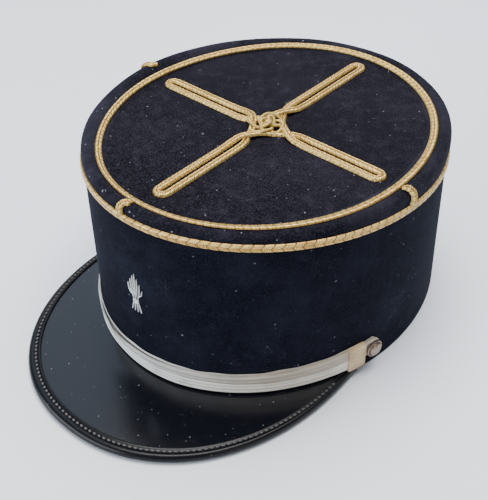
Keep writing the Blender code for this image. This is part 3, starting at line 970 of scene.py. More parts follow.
@dataclass
class Crown:
    """The cloth-covered wall, the rolled edge and the felt top."""

    turns: int = 288
    wall_thickness: float = 0.0025
    edge_thickness: float = 0.0018
    unevenness: float = 0.00022
    foot_round: float = 0.0006
    seam_cut: float = 0.0008
    wall_rows: int = 26
    edge_rows: int = 40
    edge_passes: int = 10

    velvet: ClassVar[Finish] = NappedCloth(
        "Brushed velvet", dark=(0.0008, 0.0011, 0.0036), light=(0.0150, 0.0160, 0.0290),
        sheen=(0.40, 0.48, 0.80), sheen_weight=0.035, pile_depth=0.00030, lint=1.1,
    )
    # The rolled edge's cloth: the wall's velvet with more lint and dust, and lighter colours that
    # are painted highlights on its upward face.
    dust_and_highlight_velvet: ClassVar[Finish] = NappedCloth(
        "Velvet with dust and painted highlights", dark=(0.0013, 0.0014, 0.0035), light=(0.0310, 0.0300, 0.0450),
        sheen=(0.45, 0.50, 0.75), sheen_weight=0.05, pile_depth=0.00035, lint=1.8,
    )
    felt: ClassVar[Finish] = NappedCloth(
        "Wool felt", dark=(0.0009, 0.0008, 0.0026), light=(0.0350, 0.0320, 0.0490),
        sheen=(0.50, 0.50, 0.70), sheen_weight=0.035, pile_depth=0.00035, lint=1.3, patchy=0.14,
    )

    def angles(self) -> Array:
        """Turns of the rows, once round."""
        return np.linspace(0, math.tau, self.turns, endpoint=False)

    def wall_grid(self) -> Array:
        """The wall as a closed loop at each turn: up its outer face, over and down inside."""
        turn = self.angles()[:, None]
        rise = np.linspace(0.0, 1.0, self.wall_rows)
        soft = self.unevenness * waves(turn, (3, 5, 8), 0.7) * np.sin(math.pi * rise)
        outer_z = self.foot_round + (CROWN.rim_z(turn) - self.seam_cut) * rise
        outer = CROWN.wall(turn, outer_z, soft)
        heights = CROWN.rim_z(turn) * np.array([1.0, 0.999, 0.6, 0.2])
        inner = CROWN.wall(turn, heights, -self.wall_thickness * np.array([0.5, 1, 1, 1]))
        foot_z = np.broadcast_to(np.array([self.foot_round, 0.0, 0.0]), (self.turns, 3))
        foot_out = -np.array([self.wall_thickness, self.wall_thickness * 0.8, 0.0004])
        foot = CROWN.wall(turn, foot_z, foot_out)
        return np.concatenate((outer, inner, foot), 1)

    def edge_grid(self) -> Array:
        """The rolled edge: its profile with rounded corners, and the same set back inside."""
        turn = self.angles()
        profile = CROWN.edge_profile(turn)
        fine = np.stack([resample(row, self.edge_rows) for row in profile])
        soft = eased(np.swapaxes(fine, 0, 1), self.edge_passes)
        fine[:, 1:-1] = np.swapaxes(soft, 0, 1)[:, 1:-1]
        along = unit(np.gradient(fine, axis=1))
        inward = np.stack((-along[..., 1], along[..., 0]), -1)
        inner = (fine + inward * self.edge_thickness)[:, ::-4]
        soft = self.unevenness * waves(turn, (4, 7, 11), 1.3)[:, None]
        fine[:, 4:-8] += -inward[:, 4:-8] * soft[..., None]
        loop = np.concatenate((fine, inner), 1)
        return CROWN.rim(turn[:, None], loop[..., 0], loop[..., 1])

    def build(self) -> None:
        """Makes the wall and the rolled edge, and dresses the CAD's own disc."""
        pieces = (
            ("velvet_wall", self.wall_grid(), self.velvet, "side_wall"),
            ("velvet_edge", self.edge_grid(), self.dust_and_highlight_velvet, "top_edge"),
        )
        for name, grid, finish, node in pieces:
            settle(Skin().add_grid(grid, ring=True).piece(name), finish, Slot.VELVET, node)
        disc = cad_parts["top_disc"]
        disc.data.materials.clear()
        disc.data.materials.append(self.felt.material())
        LOG.info("top_disc keeps its CAD shape, in %s", self.felt.name)


# A tab's way: shares of its climb, and how many widths it lies aside
HOOK: Table = (
    (0.0, 0.05), (0.25, -0.14), (0.50, -0.24), (0.74, -0.12),
    (0.92, 0.18), (1.0, 0.60), (1.0, 0.92),
)


@dataclass
class Braids:
    """The gold braids round the rim and the top, and the four tabs over the rolled edge."""

    rim: Plait = Plait(
        width=0.0038, thickness=0.0010, pitch=0.0044, slant=-0.42, relief=0.00008, ridge=0.12
    )
    ring: Plait = Plait(
        width=0.0040, thickness=0.0010, pitch=0.0033, slant=-0.40, relief=0.00007, ridge=0.16
    )
    tab: Plait = Plait(
        width=0.0037, thickness=0.0013, pitch=0.0026, slant=-0.40, relief=0.00007, ridge=0.24,
        top_points=13,
    )
    rim_girth: float = 0.562
    ring_girth: float = 0.53
    rim_lift: float = 0.0004
    ring_shift: float = 0.0004
    felt_reach: float = 0.006
    tucked: float = 0.0008
    short_of_ring: float = 0.42
    with_ring: float = 0.7
    hook_step: float = 0.002
    taper_from: float = 0.55
    hooks: tuple[tuple[str, float, float, float, float], ...] = (
        ("front", -1.6, 1.0, 1.0, 1.0),
        ("left", 88.0, -1.0, 0.30, 1.0),
        ("back", 180.0, 1.0, 1.0, 0.60),
        ("right", 270.0, -1.0, 1.0, 0.97),
    )

    rim_gold: ClassVar[Finish] = PlaitedGold(
        "Gilt plait of the rim", slant=-0.42, threads=6.0, pale=(1.0, 0.76, 0.27),
        deep=(0.34, 0.160, 0.030), gap=(0.13, 0.026, 0.006), gap_width=0.20, shaded_crease=0.14,
        foot=0.32,
    )
    ring_gold: ClassVar[Finish] = PlaitedGold(
        "Gilt plait of the top", slant=-0.40, threads=5.0, pale=(1.0, 0.77, 0.27),
        deep=(0.33, 0.165, 0.030), gap=(0.14, 0.050, 0.008), gap_width=0.20, shaded_crease=0.22,
        foot=0.30,
    )

    def ring_rows(self, plait: Plait, girth: float) -> Array:
        """Turns for a ring of whole strands."""
        rows = plait.strand_count(girth) * plait.rows_per_strand
        return np.linspace(0, math.tau, rows, endpoint=False)

    def rim_braid(self) -> Object:
        """A ring flat against the seam, lying along the wall and facing out from it."""
        turn = self.ring_rows(self.rim, self.rim_girth)
        half = self.rim.width / 2
        low = CROWN.wall(turn, CROWN.rim_z(turn) + self.rim_lift - half, CLEARANCE)
        high = CROWN.rim(turn, CLEARANCE, self.rim_lift + half)
        path = (low + high) / 2
        ups = unit(np.cross(unit(high - low), tangents(path, True)))
        ups *= np.sign((ups * (path - path.mean(0))).sum(1, keepdims=True))
        return Skin().add_grid(*self.rim.band(path, ups, True), ring=True).piece("rim_plait")

    def ring_braid(self) -> Object:
        """A ring laid over the roll's inner slope, and onto the felt where it lies further in."""
        turn = self.ring_rows(self.ring, self.ring_girth)
        profile = CROWN.edge_profile(turn)
        felt = profile[:, -1:] + (-self.felt_reach, 0.0)
        ground = np.concatenate((profile[:, -5:], felt), 1)
        place = around(turn, RING_PLACES, 1) - self.ring_shift
        edges = []
        for line, middle, shift in zip(ground, profile[:, -2], place):
            way = length_along(line, False)
            start = way[-3] + np.linalg.norm(middle - line[-3])
            at = start + shift + np.array([-0.5, 0.5]) * self.ring.width
            edges.append(np.column_stack([np.interp(at, way, column) for column in line.T]))
        outer, inner = np.swapaxes(np.array(edges), 0, 1)
        along = unit(inner - outer)
        normal = np.stack((along[:, 1], -along[:, 0]), -1)
        low = (outer + inner) / 2 + normal * CLEARANCE
        high = low + normal * self.ring.thickness
        path = CROWN.rim(turn, low[:, 0], low[:, 1])
        ups = unit(CROWN.rim(turn, high[:, 0], high[:, 1]) - path)
        band = self.ring.band(path, ups, True, around(turn, RING_PLACES, 2))
        return Skin().add_grid(*band, ring=True).piece("ring_plait")

    def hook(
        self, name: str, degrees: float, curl: float, tip: float, climb: float
    ) -> Object:
        """A tab that climbs the rolled edge and curls aside under the ring.

        Its way over the edge is the profile's length from the rim braid to the ring, and its way
        aside follows HOOK in widths.

        Args:
            name: its place.
            degrees: its turn.
            curl: 1 to curl towards growing turns, -1 the other way.
            tip: the share of its width that is left at its end.
            climb: how much of the way to the ring it goes.

        Returns:
            The tab.
        """
        turn = math.radians(degrees)
        profile = resample(CROWN.edge_profile(np.array([turn]))[0, :-2], 60)
        climbed = length_along(profile, False)
        table = eased(resample(np.array(HOOK), 60), 30)
        seam = self.rim_lift + self.rim.width / 2 - self.tucked
        low = np.interp(seam, profile[:, 1], climbed)
        inward = float(around(np.array(turn), RING_PLACES, 1))
        high = climbed[-1] - self.tab.width * self.short_of_ring + inward * self.with_ring
        at = low + (high - low) * climb * table[:, 0]
        out, up = (np.interp(at, climbed, column) for column in profile.T)
        ahead = unit(np.gradient(profile, axis=0))
        normal = np.column_stack([np.interp(at, climbed, c) for c in (ahead[:, 1], -ahead[:, 0])])
        way = CROWN.rim_half_width * math.cos(turn), CROWN.rim_half_depth * math.sin(turn)
        here = turn + table[:, 1] * curl * self.tab.width / math.hypot(*way)
        foot = CROWN.rim(here, *((out, up) + normal.T * CLEARANCE))
        above = CROWN.rim(here, *((out, up) + normal.T * self.hook_step))
        share = np.linspace(0, 1, len(foot))
        narrowing = np.clip((share - self.taper_from) / (1 - self.taper_from), 0, 1)
        widths = 1.0 - (1.0 - tip) * narrowing**1.5
        widths *= np.sqrt(np.clip((1.02 - share) / 0.12, 0.05, 1))
        band = self.tab.band(foot, unit(above - foot), False, widths)
        return Skin().add_grid(*band).piece(f"tab_plait_{name}")

    def build(self) -> None:
        """Makes the two rings and the four tabs."""
        settle(self.rim_braid(), self.rim_gold, Slot.GOLD, "rim_braid")
        settle(self.ring_braid(), self.ring_gold, Slot.GOLD, "ring_braid")
        for name, *bends in self.hooks:
            settle(self.hook(name, *bends), self.ring_gold, Slot.GOLD, f"tab_{name}")


@dataclass
class Knot:
    """The looped cord on the top: four long loops, their crossings and the woven round."""

    cord: Plait = Plait(
        width=0.0038, thickness=0.0015, pitch=0.0026, slant=-0.85, relief=0.00004, ridge=0.30,
        top_points=15,
    )
    ahead: float = 0.0042
    spacing: float = 0.0057
    length: float = 0.0690
    neck: float = 0.0120
    spread: float = 0.0075
    over: float = 0.0016
    bow: float = 0.16
    round_radius: float = 0.00092
    round_middle: float = 0.0054
    round_swing: float = 0.0036
    boss_middle: float = 0.0028
    boss_swing: float = 0.0013
    round_aside: float = 0.0006
    round_ahead: float = 0.0008
    round_pitch: float = 0.0011
    boss_level: float = 0.0016
    boss_tilt: float = 0.6
    loops: tuple[Triple, ...] = (
        (0.2, 1.20, 1.093),
        (89.4, 1.05, 1.010),
        (180.4, 1.12, 1.167),
        (269.5, 0.68, 1.000),
    )

    gold: ClassVar[Finish] = PlaitedGold(
        "Gilt plait of the knot", slant=-0.85, threads=4.0, pale=(1.0, 0.79, 0.30),
        deep=(0.38, 0.195, 0.038), gap=(0.20, 0.095, 0.015), gap_width=0.22, shaded_crease=0.30,
        foot=0.0,
    )
    twist: ClassVar[Finish] = SewingThread(
        "Gilt twist", pale=(1.0, 0.78, 0.28), deep=(0.24, 0.110, 0.020), twist=3.0,
        metallic=0.75, roughness=0.26,
    )

    def pointing(self, turn: Array) -> Array:
        """Plan directions (sin t, -cos t)."""
        return np.stack((np.sin(turn), -np.cos(turn)), -1)

    def loop_rows(self, degrees: float, neck: float, reach: float) -> Array:
        """One loop in plan with its lifted share: out on one arm, round the tip and back.

        Args:
            degrees: the way it points.
            neck: where its arms cross, in shares of the neck's distance.
            reach: its tip, in shares of the length.

        Returns:
            Rows of x, y, lift.
        """
        way = self.pointing(np.array(math.radians(degrees)))
        aside = np.array((-way[1], way[0]))
        arm = self.spacing / 2
        start = neck * self.neck
        tip = reach * self.length - arm - self.cord.width / 2
        angle = np.linspace(0, math.pi, 13)
        out = np.array([(0, 0, 0), (0.25, 0.38, 0), (0.5, 0.72, 0), (1, 1, 0), (2, 1, 0)])
        back = out[::-1] * (1, -1, 1)
        back[:, 2] = (0, 0.3, 0.85, 1, 1)
        for arms in (out, back):
            arms[:, :2] = np.column_stack((start + arms[:, 0] * self.spread, arms[:, 1] * arm))
        round_tip = np.column_stack((tip + arm * np.sin(angle), arm * np.cos(angle), angle * 0))
        far, side, lift = np.vstack((out, round_tip, back)).T
        return np.column_stack((far[:, None] * way + side[:, None] * aside, lift))

    def cord_path(self) -> Array:
        """The whole cord, evenly spaced and eased: on the disc, and lifted at its crossings."""
        rows = []
        for loop, after in zip(self.loops, self.loops[1:] + self.loops[:1]):
            mine = self.loop_rows(*loop)
            end = self.pointing(np.array(math.radians(after[0]))) * after[1] * self.neck
            share = np.array([0.25, 0.5, 0.75])[:, None]
            bar = mine[-1, :2] + (end - mine[-1, :2]) * share
            bar = bar * (1 - self.bow * np.sin(math.pi * share))
            rows += [mine, np.column_stack((bar, (0.9, 0.4, 0.0)))]
        line = np.vstack(rows) * (1, 1, self.over)
        strands = self.cord.strand_count(length_along(line, True)[-1])
        even = eased(resample(line, strands * self.cord.rows_per_strand, True), 14, True)
        y = even[:, 1] + CROWN_MIDDLE_Y - self.ahead
        return np.column_stack((even[:, 0], y, CROWN.top_z(y) + CLEARANCE * 0.5 + even[:, 2]))

    def woven(
        self, middle: float, swing: float, leads: int, bights: int, level: float, tilt: float
    ) -> Array:
        """A woven ring of one cord: r = m + s cos(b t / l), z = w sin(2 b t / l), over l turns.

        Args:
            middle: its middle radius m.
            swing: how far it swings in and out, s.
            leads: the turns it takes, l.
            bights: its outer bends, b.
            level: how high it lies above the disc.
            tilt: the turn of its first bight.

        Returns:
            Points of the cord's middle line.
        """
        t = np.linspace(0, math.tau * leads, 160 * leads, endpoint=False)
        swings = t * bights / leads
        weave = self.round_radius * 1.05
        plan = self.pointing(t + tilt) * (middle + swing * np.cos(swings))[:, None]
        plan += (self.round_aside, -self.round_ahead)
        y = plan[:, 1] + CROWN_MIDDLE_Y - self.ahead
        z = CROWN.top_z(y) + level + self.round_radius + weave * (1 + np.sin(2 * swings))
        return np.column_stack((plan[:, 0], y, z))

    def woven_round(self) -> Object:
        """The woven round inside the bars, and a smaller one that lies on its middle."""
        skin = Skin()
        angle = np.linspace(0, math.tau, 12, endpoint=False)
        rings = (
            self.woven(self.round_middle, self.round_swing, 3, 4, 0.0, 0.0),
            self.woven(self.boss_middle, self.boss_swing, 2, 3, self.boss_level, self.boss_tilt),
        )
        for path in rings:
            ups = np.broadcast_to(UPRIGHT, path.shape)
            u = length_along(path, True) / self.round_pitch
            lay = angle - u[:-1, None] * math.tau / 2
            ply = self.round_radius * (1 + 0.08 * np.cos(2 * lay))
            points = swept(path, ups, ply * np.cos(angle), ply * np.sin(angle), True)
            skin.add_grid(points, u, ring=True)
        return skin.piece("knot_round")

    def build(self) -> None:
        """Makes the looped cord and the woven round."""
        path = self.cord_path()
        band = self.cord.band(path, np.broadcast_to(UPRIGHT, path.shape), True)
        cord = Skin().add_grid(*band, ring=True).piece("knot_plait")
        settle(cord, self.gold, Slot.GOLD, "knot_cord")
        settle(self.woven_round(), self.twist, Slot.GOLD, "knot_centre")


@dataclass
class Badge:
    """A plain sheaf of blades worked in silver thread on the front of the wall."""

    height: float = 0.0228
    width: float = 0.0104
    level: float = 0.0524
    turn: float = math.radians(1.0)
    stroke_width: float = 0.00062
    relief: float = 0.00055
    stitch_pitch: float = 0.00042
    band_step: float = 0.00075
    tie: float = -0.22
    strokes: Table = (
        (0.00, 0.00, 1.00, 0.00), (-0.28, -0.29, 0.93, 0.10), (0.29, 0.29, 0.89, 0.10),
        (-0.58, -0.60, 0.82, 0.01), (0.56, 0.60, 0.77, 0.01), (-0.88, -0.93, 0.70, 0.11),
        (0.78, 0.90, 0.64, 0.11),
    )
    stems: tuple[float, ...] = (-0.58, -0.20, 0.20, 0.58)

    thread: ClassVar[Finish] = SewingThread(
        "Silver thread", pale=(1.0, 1.0, 1.0), deep=(0.74, 0.74, 0.76), twist=1.0,
        metallic=0.04, roughness=0.35,
    )

    def on_wall(self, x: Array, y: Array, out: Array) -> Array:
        """Points of the badge's own plan laid on the wall."""
        turn = self.turn + x / CROWN.base_half_width
        return CROWN.wall(turn, self.level + y, CLEARANCE + out)

    def stroke(self, skin: Skin, line: Array, relief: float) -> None:
        """A raised stitch: half width w sin(pi s)^(1/3), height h cos(pi a / 2) across it.

        Args:
            skin: the skin to add it to.
            line: its middle line in the badge's plan.
            relief: its height.
        """
        path = eased(resample(line, 28), 8)
        ahead = tangents(path, False)
        side = np.stack((ahead[:, 1], -ahead[:, 0]), -1)
        s = np.linspace(0.02, 0.98, len(path))
        half = self.stroke_width / 2 * np.sin(math.pi * s) ** 0.34
        a = np.linspace(-1, 1, 7)
        flat = np.concatenate((a, [0.5, -0.5]))
        high = np.concatenate((np.cos(math.pi / 2 * a), [-0.2, -0.2]))
        plan = path[:, None] + side[:, None] * (half[:, None] * flat)[..., None]
        out = relief * high * np.minimum(1, np.sin(math.pi * s) * 2.5)[:, None]
        u = length_along(path, False) / self.stitch_pitch
        v = np.append((flat + 1) / 2, 0.0)
        skin.add_grid(self.on_wall(plan[..., 0], plan[..., 1], out), u, v)

    def build(self) -> None:
        """Makes the blades, the stems below them and the band that ties them."""
        skin = Skin()
        half = self.width / 2
        tie = self.tie * self.height
        for bend, spread, reach, clear in self.strokes:
            tip = np.array((spread * half * 0.92, (reach - 0.5) * self.height))
            start = np.array((bend * half * (0.34 + clear), tie + 0.0008 + clear * self.height))
            middle = (start + tip) / 2 + (bend * half * 0.17, -0.02 * self.height)
            self.stroke(skin, np.array((start, middle, tip)), self.relief)
        for spread in self.stems:
            end = np.array((spread * half, -0.5 * self.height + 0.0006 * abs(spread)))
            start = np.array((spread * half * 0.50, tie - 0.0006))
            self.stroke(skin, np.array((start, (start + end) / 2, end)), self.relief)
        bow = np.array(((-0.34, 0.0003), (0.0, -0.0002), (0.34, 0.0003))) * (half, 1)
        for k in (-1, 0, 1):
            self.stroke(skin, bow + (0, tie + k * self.band_step), self.relief * 1.4)
        settle(skin.piece("thread_sheaf"), self.thread, Slot.SILVER, "badge")


# The binding's upper face: shares of the lip's or the roll's reach, and of its half thickness
BINDING_SHAPE: Table = (
    (-1.00, 0.56), (-1.00, 0.86), (-0.93, 0.96), (-0.78, 0.97), (-0.66, 0.90), (-0.46, 0.74),
    (-0.26, 0.90), (-0.12, 1.00), (0.20, 1.00), (0.55, 0.86), (0.82, 0.58), (0.97, 0.22),
    (1.00, 0.0),
)
BINDING_BELOW: Table = ((-0.20, -0.98), (-0.94, -0.92), (-1.00, -0.70))


@dataclass(frozen=True)
class Stations:
    """Rows across the peak from tail to tail.

    Attributes:
        foot: the wall's points in plan.
        way: unit directions outwards from them.
        width: the peak's width along each.
        grip: the share of its size that the binding keeps near the tails.
        upturn: how far the leather turns up at the wall.
    """

    foot: Array
    way: Array
    width: Array
    grip: Array
    upturn: Array


@dataclass
class Peak:
    """The leather peak, its rolled binding and the stitches along it."""

    projection: float = 0.0484
    side_reach: float = 0.0093
    widest: float = 0.0500
    squareness: float = 2.15
    thickness: float = 0.0024
    upturn: float = 0.0011
    upturn_width: float = 0.0120
    tail_width: float = 0.0009
    binding_wall: float = 0.0008
    roll: float = 0.0024
    lip: float = 0.0045
    floor_gap: float = 0.0001
    stitch_length: float = 0.0019
    stitch_step: float = 0.0026
    stitch_half: float = 0.00062
    stitch_rise: float = 0.00042
    stitch_lean: float = 0.12
    stitched_width: float = 0.0105
    channel_place: float = 0.44
    channel_level: float = 0.93
    leather_rows: int = 181
    binding_rows: int = 241
    stitched_rows: int = 1601

    leather: ClassVar[Finish] = BlackLeather(
        "Polished leather", colour=(0.0036, 0.0042, 0.0074), roughness=0.18,
        grain=0.000022, dust=1.3,
    )
    edge: ClassVar[Finish] = BlackLeather(
        "Binding leather", colour=(0.0034, 0.0037, 0.0058), roughness=0.28,
        grain=0.000012, dust=0.5, coat=0.04, specular=0.20,
    )
    thread: ClassVar[Finish] = SewingThread(
        "Worn thread", pale=(0.130, 0.120, 0.120), deep=(0.030, 0.028, 0.032), twist=2.0
    )

    @property
    def binding_half(self) -> float:
        """Half the thickness of the bound edge."""
        return self.thickness / 2 + CLEARANCE + self.binding_wall

    @property
    def level(self) -> float:
        """Height of the leather's middle layer."""
        return self.binding_half + self.floor_gap

    def wall_x(self, y: Array) -> Array:
        """Half width of the crown's foot: w (1 - (y / d)^2)^(1/2)."""
        inside = np.maximum(0.0, 1 - (y / CROWN.base_half_depth) ** 2)
        return CROWN.base_half_width * np.sqrt(inside)

    def outline(self, angle: Array) -> Array:
        """The bound edge in plan round the crown's middle: a squarish oval.

        It is (w |sin a|^p, -c - r |cos a|^p) with the signs kept, and p = 2 / squareness.

        Args:
            angle: 0 at its front.

        Returns:
            Rows of x, y.
        """
        half = self.wall_x(np.array(self.widest)) + self.side_reach
        reach = CROWN.base_half_depth + self.projection - self.widest
        power = 2 / self.squareness
        east = np.sign(np.sin(angle)) * np.abs(np.sin(angle)) ** power
        north = -np.sign(np.cos(angle)) * np.abs(np.cos(angle)) ** power
        return np.stack((half * east, -self.widest + reach * north), -1)

    def stations(self, count: int) -> Stations:
        """So many rows, evenly round the wall between the turns where the peak runs out."""
        angle = np.linspace(math.pi / 2, math.pi, 20001)
        edge = self.outline(angle)
        tail = angle[np.argmax(edge[:, 0] - self.wall_x(edge[:, 1]) <= self.tail_width)]
        tail_turn = math.acos(-self.outline(np.array(tail))[1] / CROWN.base_half_depth)
        share = np.linspace(-1, 1, count)
        foot = CROWN.wall(share * tail_turn, self.level, CLEARANCE)[:, :2]
        way = self.outline(share * tail) + (0, CROWN_MIDDLE_Y) - foot
        width = np.linalg.norm(way, axis=1)
        grip = np.minimum(1.0, width / (self.roll + self.lip + 2 * CLEARANCE))
        upturn = self.upturn * np.minimum(1.0, width / self.upturn_width) ** 2
        return Stations(foot, unit(way), width, grip, upturn)

    def points(self, rows: Stations, distance: Array, up: Array) -> Array:
        """Points at distances from the wall: z = level + upturn (1 - d / w)^2 + up.

        Args:
            rows: the stations.
            distance: d, rows by columns.
            up: heights above the leather's middle layer, alike.

        Returns:
            Rows by columns by 3.
        """
        near = np.maximum(0.0, 1 - distance / self.upturn_width)
        plan = rows.foot[:, None] + rows.way[:, None] * distance[..., None]
        return at_heights(plan, self.level + rows.upturn[:, None] * near**2 + up)

    def leather_skin(self) -> Skin:
        """The peak's upper and lower faces over shares of its width, closed round the edge."""
        rows = self.stations(self.leather_rows)
        width = (rows.width - rows.grip * self.roll)[:, None]
        share = np.linspace(0, 1, 24) ** 1.3
        top = share * width
        distance = np.concatenate((top, top[:, ::-1]), 1)
        up = np.repeat((self.thickness / 2, -self.thickness / 2), len(share))
        grid = self.points(rows, distance, np.broadcast_to(up, distance.shape))
        across = np.append(np.concatenate((share, share[::-1])), 0.0)
        return Skin().add_grid(grid, across=across)

    def binding_skin(self) -> Skin:
        """The folded binding: BINDING_SHAPE over the lip and the roll, and its like below."""
        rows = self.stations(self.binding_rows)
        table = np.array(BINDING_SHAPE)
        inside = np.where(table[:, 0] < 0, self.lip, self.roll) * table[:, 0]
        upper = np.column_stack((inside, table[:, 1] * self.binding_half))
        upper = eased(resample(upper, 44), 4)
        lower = resample(np.array(BINDING_BELOW) * (self.lip, self.binding_half), 12)
        under = np.vstack((upper[::-1][:12] * (1, -1), lower))
        gap = self.thickness / 2 + CLEARANCE * 0.4
        inner = np.array(((-self.lip, -gap), (CLEARANCE, -gap), (CLEARANCE, gap), (-self.lip, gap)))
        loop = np.vstack((upper, under, inner))
        distance = (rows.width - rows.grip * self.roll)[:, None] + loop[:, 0] * rows.grip[:, None]
        grid = self.points(rows, distance, np.broadcast_to(loop[:, 1], distance.shape))
        return Skin().add_grid(grid)

    def stitches(self) -> Skin:
        """Short rounded stitches, evenly spaced along the binding's channel.

        Each is an ellipsoid of the stitch's length, set along the channel's direction.

        Returns:
            One skin of them all.
        """
        rows = self.stations(self.stitched_rows)
        channel = rows.grip * self.lip * self.channel_place
        distance = (rows.width - rows.grip * self.roll - channel)[:, None]
        height = np.full_like(distance, self.binding_half * self.channel_level)
        line = self.points(rows, distance, height)[rows.width > self.stitched_width, 0]
        spots = resample(line, int(length_along(line, False)[-1] / self.stitch_step))
        ahead = tangents(spots, False)
        side = unit(np.cross(ahead, UPRIGHT))
        lean = unit(ahead + side * self.stitch_lean)
        pole = np.linspace(0, math.pi, 6)[1:-1, None]
        angle = np.linspace(0, math.tau, 6, endpoint=False)
        beside = (np.sin(pole) * np.cos(angle))[..., None]
        above = (np.sin(pole) * np.sin(angle))[..., None] * (0, 0, self.stitch_rise)
        skin = Skin()
        for spot, way, flank in zip(spots, lean, side):
            long = np.cos(pole)[..., None] * (way * self.stitch_length / 2)
            rings = spot + long + beside * flank * self.stitch_half + above
            skin.add_grid(rings)
        return skin

    def build(self) -> None:
        """Makes the leather, the binding and its stitches."""
        settle(self.leather_skin().piece("peak_leather"), self.leather, Slot.LEATHER, "peak")
        roll = self.binding_skin().piece("peak_roll", 60)
        settle(roll, self.edge, Slot.LEATHER, "peak_binding")
        settle(self.stitches().piece("peak_stitches"), self.thread, Slot.LEATHER)


# Radii of the button's rings, as shares of its own
BUTTON_RADII = (
    0.02, 0.1, 0.2, 0.3, 0.4, 0.5, 0.58, 0.66, 0.72, 0.76, 0.80, 0.84, 0.88, 0.93, 0.97, 1.0,
)
# The tongue's rounding: shares of its length and of its height
TONGUE_ROUND: Table = ((0.00, 1.00), (0.50, 0.95), (0.80, 0.78), (0.95, 0.52), (1.00, 0.28))
# Turn in degrees, and the share of its distance from the wall that the strap keeps there
STRAP_HUGS: Table = ((-74, 1.0), (-62, 0.3), (-8, 0.3), (14, 1.0))
# Turn in degrees, and how far the upper edge lies below its place at the slides
STRAP_DIPS: Table = (
    (-72, 0.0), (-62, 0.0004), (-46, 0.0015), (-30, 0.0020),
    (10, 0.0021), (38, 0.0018), (56, 0.0008), (70, 0.0),
)
# Turn in degrees, and the share of its greatest lean that the upper edge stands out
STRAP_LEANS: Table = ((-45, 0.00), (-28, 0.27), (-13, 1.00), (0, 0.55), (18, 0.00))


